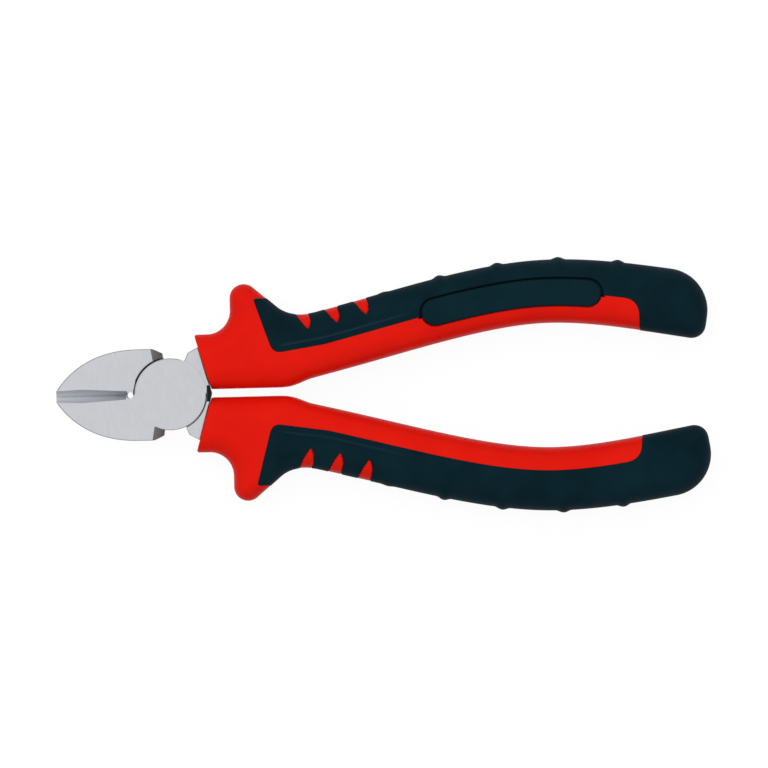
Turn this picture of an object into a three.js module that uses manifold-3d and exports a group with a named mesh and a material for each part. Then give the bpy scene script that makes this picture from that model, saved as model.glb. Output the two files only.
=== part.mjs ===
// Cutting pliers with two-colour grips, lying closed, jaws towards -X and handles towards +X
import * as THREE from 'three';
import { mergeVertices } from 'three/addons/utils/BufferGeometryUtils.js';
import Module from 'manifold-3d';

const DEGREE = Math.PI / 180;

// Lap joint and rivet
const JOINT_RADIUS = 8.8;
const JOINT_THICKNESS = 10;
const JOINT_CLEARANCE = 0.3;
const LAP_GAP = 0.2;
const RIVET_RADIUS = 3;
const RIVET_HEAD_RADIUS = 4.2;
const RIVET_HEAD_DEPTH = 1.4;
const RIVET_CLEARANCE = 0.06;

// Jaws, measured forwards from the pivot
const JAW_LENGTH = 28;
const JAW_HALF_WIDTH = 11.2;
const JAW_WIDEST = 8;
const NOSE_HALF_WIDTH = 1.3;
const NOSE_THICKNESS = 6.6;
const NOSE_LEAN = 0.18;
const NOSE_RISE = 0.55;
const NOSE_BELLY = 0.5;
const EDGE_GAP = 0.12;
const EDGE_BEVEL_NOSE = 1.4;
const EDGE_BEVEL_ROOT = 1.05;
const RELIEF_RADIUS = 0.8;
const SHOULDER_ANGLE = 100 * DEGREE;
const SHOULDER_BEVEL = 2.6;
const SHOULDER_DROP = 2.2;
const SHOULDER_CORNER = 1.1;

// Necks and tangs of the forged levers
const NECK_ANGLE = 66 * DEGREE;
const NECK_RISE = 2.2;
const NECK_TOP = 11.4;
const NECK_STEP = 0.5;
const CROTCH_LENGTH = 1.1;
const LEVER_GAP = 0.24;
const TANG_WIDTH = 7;
const TANG_END_WIDTH = 5.6;
const TANG_THICKNESS = 6;
const TANG_ROUND = 1.2;
const TANG_LENGTH = 76;
const TANG_ROOT = 2;
const SEAT_GAP = 0.3;

// Collar and guard at the front of each handle
const HANDLE_GAP = 2;
const FRONT_SLANT = 15.6 * DEGREE;
const COLLAR_TOP = 14.45;
const COLLAR_LENGTH = 2.75;
const COLLAR_THICKNESS = 12.4;
const COLLAR_FILLET = 5.8;
const GUARD_TOP = 26.55;
const GUARD_RADIUS = 3.45;
const GUARD_BACK_ANGLE = 40.5 * DEGREE;
const SADDLE_LENGTH = 19.45;
const SADDLE_SHARE = 0.62;
const BEND_LENGTH = 8.5;

// Grip, along its spine from the guard to the tail; the width is over both closed handles
const HANDLES_WIDTH = 62.6;
const GRIP_START_Y = 11.8;
const GRIP_ANGLE = 13.8 * DEGREE;
const SWELL_X = 94;
const TAIL_X = 132.3;
const TAIL_DROP = 4.85;
const TAIL_ANGLE = -9.6 * DEGREE;
const GRIP_WIDTH = 15.4;
const TAIL_WIDTH = 16;
const GRIP_THICKNESS = 14;
const EDGE_ROUND = 5.6;
const SIDE_FLAT = 2.4;
const CORNER_SHARE = 0.46;
const CORNER_LIFT = 0.6;
const TAIL_OUTER_RADIUS = 10.3;
const TAIL_INNER_RADIUS = 3.4;
const TAIL_FACE_RADIUS = 4.5;
const TAIL_TURN = 86 * DEGREE;

// How far along its stretch each end of the spine's curves holds its direction
const CLIMB_HOLD = 0.39;
const CREST_HOLD = 0.29;
const FALL_HOLD = 0.31;
const TAIL_HOLD = 0.37;

// Soft overmould, its ribs and its windows
const OVERMOULD_WALL = 2;
const OVERMOULD_GAP = 0.3;
const OVERMOULD_FRONT = 1.95;
const OVERMOULD_CORNER = 6.75;
const OVERMOULD_DROP = 3.25;
const OVERMOULD_LIFT = 1.1;
const OVERMOULD_ROUND = 1.6;
const STRIP_PAD_FACE = 6.95;
const STRIP_PLAIN_FACE = 5.35;
const STRIP_END = 16.4;
const STRIP_ROUND = 3.4;
const RIB_COUNT = 5;
const RIB_FIRST = 17.2;
const RIB_PITCH = 13.87;
const RIB_HEIGHT = 0.65;
const RIB_FIRST_HEIGHT = 0.2;
const RIB_WIDTH = 3;
const WINDOW_COUNT = 3;
const WINDOW_FIRST = 12.2;
const WINDOW_PITCH = 7.1;
const WINDOW_WIDTH = 3.5;
const WINDOW_DEPTH = 4;
const WINDOW_TIP = 0.6;

// Blank pad let into the crown of the grip
const PAD_START = 24.9;
const PAD_LENGTH = 44.3;
const PAD_OFFSET = 4.2;
const PAD_WIDTH = 6.4;
const PAD_THICKNESS = 1.2;
const PAD_PROUD = 0.2;
const PAD_GROOVE = 0.35;
const PAD_BED = 0.2;

// Fineness of the round shapes
const ROUND_STEPS = 72;
const RELIEF_STEPS = 24;
const CORNER_STEPS = 3;
const CURVE_STEPS = 3;
const NOSE_STEPS = 14;
const TAIL_STEPS = 5;
const PAD_STEPS = 5;
const GRIP_STEP = 9;

// Longer than any piece that is cut
const FAR = 60;

const { lerp, smoothstep, clamp } = THREE.MathUtils;
const xy = (x, y) => new THREE.Vector2(x, y);
const pointAt = (p, z) => new THREE.Vector3(p.x, p.y, z);
const series = (count, make) => Array.from({ length: count }, (_, i) => make(i));

const wasm = await Module();
wasm.setup();

// A closed geometry as a solid that can be joined and cut
function solid(geometry) {
  const bare = geometry.clone();
  bare.deleteAttribute('normal');
  bare.deleteAttribute('uv');
  const welded = mergeVertices(bare, 1e-4);
  const mesh = new wasm.Mesh({
    numProp: 3,
    vertProperties: welded.attributes.position.array,
    triVerts: new Uint32Array(welded.index.array),
  });
  return new wasm.Manifold(mesh);
}

// A solid as a three.js geometry
function geometryOf(body) {
  const mesh = body.getMesh();
  const geometry = new THREE.BufferGeometry();
  geometry.setAttribute('position', new THREE.BufferAttribute(mesh.vertProperties, 3));
  geometry.setIndex(new THREE.BufferAttribute(mesh.triVerts, 1));
  geometry.computeVertexNormals();
  return geometry;
}

// A skin over rings of equal point count, closed by a flat fan at each end
function loft(rings) {
  const count = rings[0].length;
  const last = rings.length - 1;
  const positions = rings.flat().flatMap((p) => [p.x, p.y, p.z]);
  const faces = [];
  for (let i = 0; i < last; i += 1) {
    for (let j = 0; j < count; j += 1) {
      const a = i * count + j;
      const b = i * count + (j + 1) % count;
      faces.push([a, b, b + count], [a, b + count, a + count]);
    }
  }
  for (let j = 1; j < count - 1; j += 1) {
    faces.push([0, j + 1, j], [last * count, last * count + j, last * count + j + 1]);
  }
  const corner = (k) => new THREE.Vector3().fromArray(positions, 3 * k);
  const volume = faces.reduce((sum, [a, b, c]) => sum + corner(a).dot(corner(b).cross(corner(c))), 0);
  const outward = volume > 0 ? faces : faces.map(([a, b, c]) => [a, c, b]);
  const geometry = new THREE.BufferGeometry();
  geometry.setAttribute('position', new THREE.Float32BufferAttribute(positions, 3));
  geometry.setIndex(outward.flat());
  return solid(geometry);
}

// A flat outline made thick between two heights
function extrude(outline, low, high) {
  const settings = { depth: high - low, bevelEnabled: false };
  return solid(new THREE.ExtrudeGeometry(new THREE.Shape(outline), settings).translate(0, 0, low));
}

// A round plug standing between two heights
function plug(radius, low, high, x = 0, steps = ROUND_STEPS) {
  const geometry = new THREE.CylinderGeometry(radius, radius, high - low, steps);
  return solid(geometry.rotateX(Math.PI / 2).translate(x, 0, (low + high) / 2));
}

// The rivet: a pin with a countersunk head at each end, grown for the hole that it fills
function rivetBody(grow, reach) {
  const end = JOINT_THICKNESS / 2;
  const tip = end + reach;
  const head = RIVET_HEAD_RADIUS + grow;
  const half = [xy(RIVET_RADIUS + grow, end - RIVET_HEAD_DEPTH), xy(head, end)];
  if (reach > 0) half.push(xy(head, tip));
  const mirrored = half.map((p) => xy(p.x, -p.y)).reverse();
  const profile = [xy(0, -tip), ...mirrored, ...half, xy(0, tip)];
  return solid(new THREE.LatheGeometry(profile, ROUND_STEPS).rotateX(Math.PI / 2));
}

// The jaw below the centre line, from the joint to the blunt nose
function jawOutline() {
  const nose = xy(-JAW_LENGTH, -NOSE_HALF_WIDTH);
  const back = xy(-JAW_WIDEST, -JAW_HALF_WIDTH);
  const run = JAW_LENGTH - JAW_WIDEST;
  const rise = JAW_HALF_WIDTH - NOSE_HALF_WIDTH;
  const leaving = xy(nose.x + NOSE_LEAN * run, nose.y - NOSE_RISE * rise);
  const arriving = xy(back.x - NOSE_BELLY * run, back.y);
  const cheek = new THREE.CubicBezierCurve(nose, leaving, arriving, back);
  const slant = 1 / Math.tan(SHOULDER_ANGLE);
  const low = JAW_HALF_WIDTH - SHOULDER_CORNER;
  return [
    xy(slant * EDGE_GAP / 2, -EDGE_GAP / 2),
    xy(-JAW_LENGTH, -EDGE_GAP / 2),
    ...cheek.getPoints(NOSE_STEPS),
    xy(slant * JAW_HALF_WIDTH - 2 * SHOULDER_CORNER, -JAW_HALF_WIDTH),
    xy(slant * low, -low),
  ];
}

// A wedge that thins the jaw towards its nose, above (+1) or below (-1)
function noseTaper(side) {
  const root = -(JOINT_RADIUS + JOINT_CLEARANCE);
  const top = side * JOINT_THICKNESS / 2;
  const tip = side * NOSE_THICKNESS / 2;
  const slope = (tip - top) / (JAW_LENGTH + root);
  const wedge = (y) => [
    new THREE.Vector3(root, y, top),
    new THREE.Vector3(root - FAR, y, top + slope * FAR),
    new THREE.Vector3(root - FAR, y, side * FAR),
    new THREE.Vector3(root, y, side * FAR),
  ];
  return loft([wedge(-FAR), wedge(FAR)]);
}

// The groove that leaves the cutting edges standing in the middle of the thickness
function edgeGroove(side) {
  const root = -(JOINT_RADIUS + JOINT_CLEARANCE + 2 * RELIEF_RADIUS);
  const notch = (x, wide, height) => [
    new THREE.Vector3(x, 0, 0),
    new THREE.Vector3(x, 2 * wide, side * 2 * height),
    new THREE.Vector3(x, -2 * wide, side * 2 * height),
  ];
  const nose = notch(-JAW_LENGTH - NOSE_HALF_WIDTH, EDGE_BEVEL_NOSE, NOSE_THICKNESS / 2);
  return loft([nose, notch(root, EDGE_BEVEL_ROOT, JOINT_THICKNESS / 2)]);
}

// The slanting face at the back of the jaw
function shoulderBevel(side) {
  const radial = xy(Math.cos(SHOULDER_ANGLE), -Math.sin(SHOULDER_ANGLE));
  const forwards = xy(-Math.sin(SHOULDER_ANGLE), -Math.cos(SHOULDER_ANGLE));
  const top = side * JOINT_THICKNESS / 2;
  const drop = side * SHOULDER_DROP;
  const wedge = (reach) => {
    const foot = radial.clone().multiplyScalar(reach);
    const ahead = foot.clone().addScaledVector(forwards, 2 * SHOULDER_BEVEL);
    const behind = foot.clone().addScaledVector(forwards, -SHOULDER_BEVEL);
    return [pointAt(behind, top - 2 * drop), pointAt(ahead, top + drop), pointAt(behind, top + drop)];
  };
  return loft([wedge(JOINT_RADIUS / 2), wedge(2 * JAW_HALF_WIDTH)]);
}

// The slanting line of the handle's front face, moved back along the handle
const frontX = JOINT_RADIUS + JOINT_CLEARANCE + CROTCH_LENGTH;
const frontAxis = xy(Math.cos(FRONT_SLANT), Math.sin(FRONT_SLANT));
function frontLine(y, moved) {
  const x = frontX - (y - HANDLE_GAP / 2) * Math.tan(FRONT_SLANT);
  return xy(x + moved / Math.cos(FRONT_SLANT), y);
}

// The neck above the centre line, from the joint to the shoulder that the handle sits against
function neckOutline() {
  const reach = JOINT_RADIUS + NECK_RISE;
  return [
    xy(LEVER_GAP / 2 / Math.tan(NECK_ANGLE), LEVER_GAP / 2),
    frontLine(LEVER_GAP / 2, -SEAT_GAP),
    frontLine(NECK_TOP, -SEAT_GAP),
    xy(reach * Math.cos(NECK_ANGLE), reach * Math.sin(NECK_ANGLE)),
  ];
}

// The spine of the grip: a climb to the swell, then a fall to the tail
const flankX = frontLine(COLLAR_TOP, 0).x + COLLAR_LENGTH + COLLAR_FILLET;
const guardX = flankX + GUARD_RADIUS;
const gripStart = xy(guardX + SADDLE_LENGTH, GRIP_START_Y);
const swell = xy(SWELL_X, HANDLES_WIDTH / 2 - RIB_HEIGHT - GRIP_WIDTH / 2);
const tail = xy(TAIL_X, swell.y - TAIL_DROP);
const climbRun = SWELL_X - gripStart.x;
const fallRun = TAIL_X - SWELL_X;
const spine = new THREE.CurvePath();
spine.add(new THREE.CubicBezierCurve(
  gripStart,
  gripStart.clone().addScaledVector(xy(1, Math.tan(GRIP_ANGLE)), CLIMB_HOLD * climbRun),
  xy(SWELL_X - CREST_HOLD * climbRun, swell.y),
  swell,
));
spine.add(new THREE.CubicBezierCurve(
  swell,
  xy(SWELL_X + FALL_HOLD * fallRun, swell.y),
  tail.clone().addScaledVector(xy(-1, -Math.tan(TAIL_ANGLE)), TAIL_HOLD * fallRun),
  tail,
));
const spineLength = spine.getLength();

// The place on the spine at a distance from its front, with the direction across the handle
function spineFrame(distance) {
  const share = clamp(distance / spineLength, 0, 1);
  const step = 1e-3;
  const before = spine.getPoint(Math.max(share - step, 0));
  const after = spine.getPoint(Math.min(share + step, 1));
  const along = after.sub(before).normalize();
  return { centre: spine.getPoint(share), across: xy(-along.y, along.x) };
}

// The width of the grip at a distance from the front of its spine
function gripWidth(distance) {
  return lerp(GRIP_WIDTH, TAIL_WIDTH, smoothstep(distance, spineLength / 2, spineLength));
}

// A point beside the spine, counted outwards from the grip's inner edge
function besideSpine(distance, offset) {
  const { centre, across } = spineFrame(distance);
  return centre.addScaledVector(across, offset - gripWidth(distance) / 2);
}

// How much a rounded end takes off at a distance from that end
function roundLoss(radius, distance) {
  if (distance >= radius) return 0;
  return radius - Math.sqrt(Math.max(radius ** 2 - (radius - distance) ** 2, 0));
}

// The outer outline of the collar and the guard, up to the grip
const gripInner = besideSpine(0, 0);
const gripOuter = besideSpine(0, GRIP_WIDTH);
function frontOutline() {
  const hub = GUARD_TOP - GUARD_RADIUS;
  const leave = Math.PI / 2 - GUARD_BACK_ANGLE;
  const crest = xy(guardX + GUARD_RADIUS * Math.cos(leave), hub + GUARD_RADIUS * Math.sin(leave));
  const fall = Math.tan(GUARD_BACK_ANGLE);
  const climb = Math.tan(GRIP_ANGLE);
  const meet = (crest.y - gripOuter.y + fall * crest.x + climb * gripOuter.x) / (fall + climb);
  const saddle = xy(meet, gripOuter.y + climb * (meet - gripOuter.x));
  const straight = crest.clone().lerp(saddle, SADDLE_SHARE);
  const filletX = flankX - COLLAR_FILLET;
  const path = new THREE.Path();
  path.moveTo(frontLine(COLLAR_TOP, 0).x, COLLAR_TOP);
  path.lineTo(filletX, COLLAR_TOP);
  path.absarc(filletX, COLLAR_TOP + COLLAR_FILLET, COLLAR_FILLET, -Math.PI / 2, 0, false);
  path.lineTo(flankX, hub);
  path.absarc(guardX, hub, GUARD_RADIUS, Math.PI, leave, true);
  path.lineTo(straight.x, straight.y);
  path.quadraticCurveTo(saddle.x, saddle.y, gripOuter.x, gripOuter.y);
  return path;
}
const outerFront = frontOutline();

// The inner edge near the front: level with the other handle, then rising with the grip
function innerEdge(x) {
  const climb = Math.tan(GRIP_ANGLE);
  const bend = gripInner.x - (gripInner.y - HANDLE_GAP / 2) / climb;
  return HANDLE_GAP / 2 + smoothstep(x, bend, bend + BEND_LENGTH) * climb * (x - bend);
}

// A cross-section between an inner and an outer point, drawn in from the skin
function insetSection(inner, outer, half, inset) {
  const across = outer.clone().sub(inner).normalize();
  return {
    inner: inner.addScaledVector(across, inset),
    outer: outer.addScaledVector(across, -inset),
    half: half - inset,
    round: Math.max(EDGE_ROUND - inset, TANG_ROUND),
  };
}

// Cross-sections of the collar and the guard; each runs between like shares of the two edges
function frontSections(inset) {
  const points = outerFront.curves.flatMap((curve) => {
    const steps = curve.isLineCurve ? 1 : CURVE_STEPS;
    return curve.getPoints(steps).slice(0, steps);
  });
  const walks = [0];
  [...points.slice(1), gripOuter].forEach((p, i) => walks.push(walks[i] + p.distanceTo(points[i])));
  return points.map((outer, i) => {
    const byLength = walks[i] / walks[points.length];
    const byReach = (outer.x - points[0].x) / (gripOuter.x - points[0].x);
    const share = (2 * byReach + byLength) / 3;
    const x = lerp(frontX, gripInner.x, share);
    const half = lerp(COLLAR_THICKNESS, GRIP_THICKNESS, smoothstep(share, 0, 1)) / 2;
    return insetSection(xy(x, innerEdge(x)), outer.clone(), half, inset);
  });
}

// Distances along the spine where the grip has a cross-section, with the height of a rib there
function gripStations(end, ribbed) {
  const count = Math.round(end / GRIP_STEP);
  const crests = ribbed ? series(RIB_COUNT, (i) => RIB_FIRST + i * RIB_PITCH) : [];
  const clear = (at) => crests.every((crest) => Math.abs(at - crest) > RIB_WIDTH);
  const plain = series(count, (i) => (i * end) / count).filter(clear);
  const feet = crests.flatMap((crest) => [crest - RIB_WIDTH / 2, crest + RIB_WIDTH / 2]);
  return [
    ...[...plain, ...feet].map((at) => ({ at, bump: 0 })),
    ...crests.map((at, i) => ({ at, bump: i === 0 ? RIB_FIRST_HEIGHT : RIB_HEIGHT })),
  ].sort((a, b) => a.at - b.at);
}

// Cross-sections of the grip and its rounded tail
function gripSections(inset, ribbed) {
  const end = spineLength - inset;
  const outerRadius = TAIL_OUTER_RADIUS - inset;
  const sections = gripStations(spineLength - TAIL_OUTER_RADIUS, ribbed).map(({ at, bump }) => {
    const outer = besideSpine(at, gripWidth(at) + bump);
    return insetSection(besideSpine(at, 0), outer, GRIP_THICKNESS / 2, inset);
  });
  series(TAIL_STEPS + 1, (k) => (k / TAIL_STEPS) * TAIL_TURN).forEach((turn) => {
    const left = outerRadius * (1 - Math.sin(turn));
    const at = end - left;
    const high = gripWidth(at) - roundLoss(outerRadius, left);
    const low = roundLoss(TAIL_INNER_RADIUS, left);
    const half = GRIP_THICKNESS / 2 - roundLoss(TAIL_FACE_RADIUS, left);
    sections.push(insetSection(besideSpine(at, low), besideSpine(at, high), half, inset));
  });
  return sections;
}

// A cross-section as a ring: a flat crown and sole, with elliptical corners
function ring({ inner, outer, half, round }) {
  const across = outer.clone().sub(inner);
  const width = across.length();
  const middle = inner.clone().addScaledVector(across, 0.5);
  across.normalize();
  const wide = Math.min(round, CORNER_SHARE * width);
  const tall = Math.max(half - SIDE_FLAT / 2, CORNER_LIFT * half);
  const points = [];
  [[1, 1], [-1, 1], [-1, -1], [1, -1]].forEach(([side, up]) => {
    for (let k = 0; k <= CORNER_STEPS; k += 1) {
      const turn = (k / CORNER_STEPS) * (Math.PI / 2);
      const angle = side * up > 0 ? turn : Math.PI / 2 - turn;
      const reach = side * (width / 2 - wide + wide * Math.cos(angle));
      const height = up * (half - tall + tall * Math.sin(angle));
      points.push(pointAt(middle.clone().addScaledVector(across, reach), height));
    }
  });
  return points;
}

// The whole handle as one body, inset evenly from its skin
function handleBody(inset, ribbed) {
  return loft([...frontSections(inset), ...gripSections(inset, ribbed)].map(ring));
}

// The plan of the soft overmould on one face, grown into the hard core
function overmouldPlan(strip, grow) {
  const offset = strip - grow;
  const end = spineLength - STRIP_END - grow;
  const steps = Math.round(end / GRIP_STEP);
  const edge = series(steps, (i) => besideSpine((i * (end - STRIP_ROUND)) / (steps - 1), offset));
  const top = xy(guardX + OVERMOULD_FRONT - grow, GUARD_TOP - OVERMOULD_DROP + grow);
  const footX = guardX + OVERMOULD_CORNER - grow;
  const foot = xy(footX, innerEdge(footX) + OVERMOULD_LIFT + offset);
  const above = top.clone().sub(foot).setLength(OVERMOULD_ROUND).add(foot);
  const beside = edge[0].clone().sub(foot).setLength(OVERMOULD_ROUND).add(foot);
  const corner = besideSpine(end, offset);
  const turned = besideSpine(end, offset - STRIP_ROUND);
  const below = besideSpine(end, -FAR / 2);
  const backX = footX + SADDLE_LENGTH / 4;
  const path = new THREE.Path();
  path.moveTo(top.x, top.y);
  path.lineTo(above.x, above.y);
  path.quadraticCurveTo(foot.x, foot.y, beside.x, beside.y);
  edge.forEach((p) => path.lineTo(p.x, p.y));
  path.quadraticCurveTo(corner.x, corner.y, turned.x, turned.y);
  path.lineTo(below.x, below.y);
  path.lineTo(TAIL_X + FAR, below.y);
  path.lineTo(TAIL_X + FAR, FAR);
  path.lineTo(backX, FAR);
  path.lineTo(backX, top.y);
  return path.getPoints(CURVE_STEPS);
}

// The part of the handle that is soft, the face with the pad above and the plain face below
function overmouldZone(grow) {
  const above = extrude(overmouldPlan(STRIP_PAD_FACE, grow), 0, FAR);
  return above.add(extrude(overmouldPlan(STRIP_PLAIN_FACE, grow), -FAR, 0));
}

// The outer edge behind the guard, and its height at a place along the tool
const outerChain = [
  ...outerFront.getPoints(4 * CURVE_STEPS).filter((p) => p.x > guardX),
  ...series(Math.floor(spineLength / 2), (i) => besideSpine(i + 1, GRIP_WIDTH)),
];
function outerEdge(x) {
  const next = outerChain.findIndex((p) => p.x > x);
  const [a, b] = [outerChain[next - 1], outerChain[next]];
  return lerp(a.y, b.y, (x - a.x) / (b.x - a.x));
}

// Pointed windows in the outer edge where the hard core comes through
function windows(grow) {
  const bodies = series(WINDOW_COUNT, (i) => {
    const front = guardX + WINDOW_FIRST + i * WINDOW_PITCH;
    const back = front + WINDOW_WIDTH;
    const tip = outerEdge(back) - WINDOW_DEPTH - grow;
    const plan = [
      xy(front - grow, outerEdge(front) + WINDOW_DEPTH),
      xy(front - grow, outerEdge(front)),
      xy(back - WINDOW_TIP - grow, tip),
      xy(back + grow, tip),
      xy(back + grow, outerEdge(back) + WINDOW_DEPTH),
    ];
    return extrude(plan, -FAR, FAR);
  });
  return wasm.Manifold.union(bodies);
}

// The plan of the pad: a band along the spine with rounded ends
function padPlan(grow) {
  const radius = PAD_WIDTH / 2 + grow;
  const length = PAD_LENGTH + 2 * grow;
  const middle = PAD_OFFSET + PAD_WIDTH / 2;
  const turns = series(PAD_STEPS, (k) => ((k + 0.5) / PAD_STEPS) * (Math.PI / 2));
  const ends = turns.map((turn) => radius * (1 - Math.cos(turn)));
  const inside = series(PAD_STEPS, (k) => lerp(radius, length - radius, k / (PAD_STEPS - 1)));
  const places = [...ends, ...inside, ...ends.map((d) => length - d).reverse()];
  const edge = (side) => places.map((d) => {
    const reach = radius - roundLoss(radius, Math.min(d, length - d));
    return besideSpine(PAD_START - grow + d, middle + side * reach);
  });
  return [...edge(-1), ...edge(1).reverse()];
}

// The forged tang inside the handle, grown for the cavity that takes it
function tangBody(grow, lead) {
  const mouth = frontLine((HANDLE_GAP / 2 + COLLAR_TOP) / 2, 0);
  const root = mouth.clone().addScaledVector(frontAxis, -lead);
  const side = xy(-frontAxis.y, frontAxis.x);
  const count = Math.round(TANG_LENGTH / (2 * GRIP_STEP));
  const section = (centre, across, share) => {
    const wide = lerp(TANG_WIDTH, TANG_END_WIDTH, share) / 2 + grow;
    return ring({
      inner: centre.clone().addScaledVector(across, -wide),
      outer: centre.clone().addScaledVector(across, wide),
      half: TANG_THICKNESS / 2 + grow,
      round: TANG_ROUND,
    });
  };
  const rings = series(count + 1, (i) => {
    const share = i / count;
    const { centre, across } = spineFrame(share * TANG_LENGTH + (i === count ? grow : 0));
    return section(centre, across, share);
  });
  return loft([section(root, side, 0), section(mouth, side, 0), ...rings]);
}

// One forged lever: jaw below, joint disc on its upper half, neck and tang above
function leverBody() {
  const top = JOINT_THICKNESS / 2;
  const relief = JOINT_RADIUS + JOINT_CLEARANCE + RELIEF_RADIUS;
  let jaw = extrude(jawOutline(), -top, top);
  [1, -1].forEach((side) => {
    jaw = jaw.subtract(noseTaper(side)).subtract(edgeGroove(side)).subtract(shoulderBevel(side));
  });
  const neck = extrude(neckOutline(), NECK_STEP - top, top - NECK_STEP);
  const pocket = plug(JOINT_RADIUS + JOINT_CLEARANCE, -FAR, LAP_GAP / 2);
  const forging = jaw.add(neck).add(tangBody(0, TANG_ROOT)).subtract(pocket);
  return forging
    .add(plug(JOINT_RADIUS, LAP_GAP / 2, top))
    .subtract(plug(RELIEF_RADIUS, -FAR, FAR, -relief, RELIEF_STEPS))
    .subtract(rivetBody(RIVET_CLEARANCE, 1));
}

// The seat of the pad, cut through the hard core and the soft overmould together
const crown = GRIP_THICKNESS / 2;
const padSeat = extrude(padPlan(PAD_GROOVE), crown - PAD_THICKNESS, FAR);

// The hard core: collar, guard, inner strip and the body under the soft overmould
function coreBody() {
  const room = overmouldZone(OVERMOULD_GAP).subtract(windows(0)).subtract(handleBody(OVERMOULD_WALL, false));
  const cavity = tangBody(SEAT_GAP, 3 * TANG_ROOT);
  return handleBody(0, false).subtract(room).subtract(cavity).subtract(padSeat);
}

// The soft overmould: outer side, tail and ribs
function softBody() {
  const hidden = handleBody(OVERMOULD_WALL - OVERMOULD_GAP, false);
  const skin = handleBody(0, true).intersect(overmouldZone(0));
  return skin.subtract(hidden).subtract(windows(OVERMOULD_GAP)).subtract(padSeat);
}

const shapes = {
  lever: geometryOf(leverBody()),
  grip_core: geometryOf(coreBody()),
  soft_grip: geometryOf(softBody()),
  pad: geometryOf(extrude(padPlan(0), crown - PAD_THICKNESS + PAD_BED, crown + PAD_PROUD)),
};
const finishes = {
  lever: { color: 0xc9cace, roughness: 0.3, metalness: 1 },
  grip_core: { color: 0xe11a0d, roughness: 0.4, metalness: 0 },
  soft_grip: { color: 0x0c242c, roughness: 0.6, metalness: 0 },
  pad: { color: 0x0e272f, roughness: 0.55, metalness: 0 },
};

function piece(name, geometry, finish) {
  const mesh = new THREE.Mesh(geometry, new THREE.MeshStandardMaterial(finish));
  mesh.name = name;
  return mesh;
}

// The same moulded and forged set serves both sides; the second is turned over about the long axis
const pliers = new THREE.Group();
pliers.name = 'cutting_pliers';
pliers.position.set((JAW_LENGTH - TAIL_X) / 2, 0, crown + PAD_PROUD);
['upper', 'lower'].forEach((side, i) => {
  const half = new THREE.Group();
  half.name = `${side}_half`;
  half.rotation.x = i * Math.PI;
  Object.keys(shapes).forEach((kind) => half.add(piece(`${side}_${kind}`, shapes[kind], finishes[kind])));
  pliers.add(half);
});
pliers.add(piece('pivot_rivet', geometryOf(rivetBody(0, 0)), finishes.lever));

export default pliers;
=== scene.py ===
"""Looks of a pair of side cutting pliers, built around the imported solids.

Every shape is worked out in millimetres in the frame of one half: the pivot is the origin, +X runs along
the handle, +Y towards its outer side and +Z out of the face that carries the pad. The upper half lies that
way and the lower half is the same half turned over about the X axis. The row frame is in metres.
"""
from __future__ import annotations

import logging
import math
from collections.abc import Sequence
from dataclasses import dataclass, field
from enum import Enum

import bmesh
import bpy
import numpy as np
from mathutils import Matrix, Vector

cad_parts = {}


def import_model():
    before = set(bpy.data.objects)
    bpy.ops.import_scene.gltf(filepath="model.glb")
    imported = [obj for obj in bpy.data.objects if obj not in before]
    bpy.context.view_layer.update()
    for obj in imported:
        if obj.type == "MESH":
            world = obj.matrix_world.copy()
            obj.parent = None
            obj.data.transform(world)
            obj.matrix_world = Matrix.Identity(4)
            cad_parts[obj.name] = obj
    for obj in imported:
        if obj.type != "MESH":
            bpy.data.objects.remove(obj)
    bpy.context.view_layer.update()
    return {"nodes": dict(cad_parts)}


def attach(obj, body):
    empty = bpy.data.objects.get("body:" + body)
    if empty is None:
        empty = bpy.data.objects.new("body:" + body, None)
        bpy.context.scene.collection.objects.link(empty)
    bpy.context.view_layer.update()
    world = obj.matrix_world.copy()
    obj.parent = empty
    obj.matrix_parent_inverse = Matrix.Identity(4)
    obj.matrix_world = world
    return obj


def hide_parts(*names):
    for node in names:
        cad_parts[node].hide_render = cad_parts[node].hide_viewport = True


Array = np.ndarray
Colour = tuple[float, float, float]
Span = tuple[float, float]
LOG = logging.getLogger("pliers")

# One millimetre in metres.
MM = 0.001
# Place of the pivot in the row frame, in millimetres.
PIVOT_X = -52.15
PIVOT_Z = 7.2
# Width of a cutting bevel counted back to the pivot, and what it gains for each millimetre forwards.
BEVEL_ROOT = 0.88
BEVEL_GROW = 0.0185
# Range that a noise texture mostly fills.
NOISE_SPAN = (0.3, 0.7)
# Number of points whose distances are worked out at once.
BATCH = 4000
# Least value that anything is divided by.
TINY = 1e-12
# Grid points nearer than the first weld together, and edges shorter than the second go, in metres.
WELD = 2e-7
SLIVER = 1e-7
# Point attribute that carries painted light: a painted highlight on the scoop's border and painted shade
# along the parting line.
PAINTED_LIGHT = "crease"


class Half(Enum):
    """The two like halves of the pliers, with the sign that turns one over."""

    UPPER = 1.0
    LOWER = -1.0

    @property
    def body(self) -> str:
        """Name of the moving body."""
        return self.named("half")

    def named(self, kind: str) -> str:
        """Name of a kind of piece or solid in this half."""
        return f"{self.name.lower()}_{kind}"

    def place(self, points: Array) -> Array:
        """Points of the half's own frame, turned about X, moved to the pivot and scaled to metres."""
        turned = points * np.array([1.0, self.value, self.value])
        return (turned + np.array([PIVOT_X, 0.0, PIVOT_Z])) * MM


class Face(Enum):
    """The two broad faces of a handle, with the sign of their height."""

    PAD = 1.0
    PLAIN = -1.0


def smoothstep(value: Array, low: float, high: float) -> Array:
    """Cubic ramp from 0 at low to 1 at high."""
    share = np.clip((value - low) / (high - low), 0.0, 1.0)
    return share * share * (3.0 - 2.0 * share)


def round_loss(radius: float, distance: Array) -> Array:
    """What a quarter round takes off at a distance from the edge that it rounds."""
    left = np.clip(radius - distance, 0.0, radius)
    return radius - np.sqrt(radius**2 - left**2)


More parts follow.
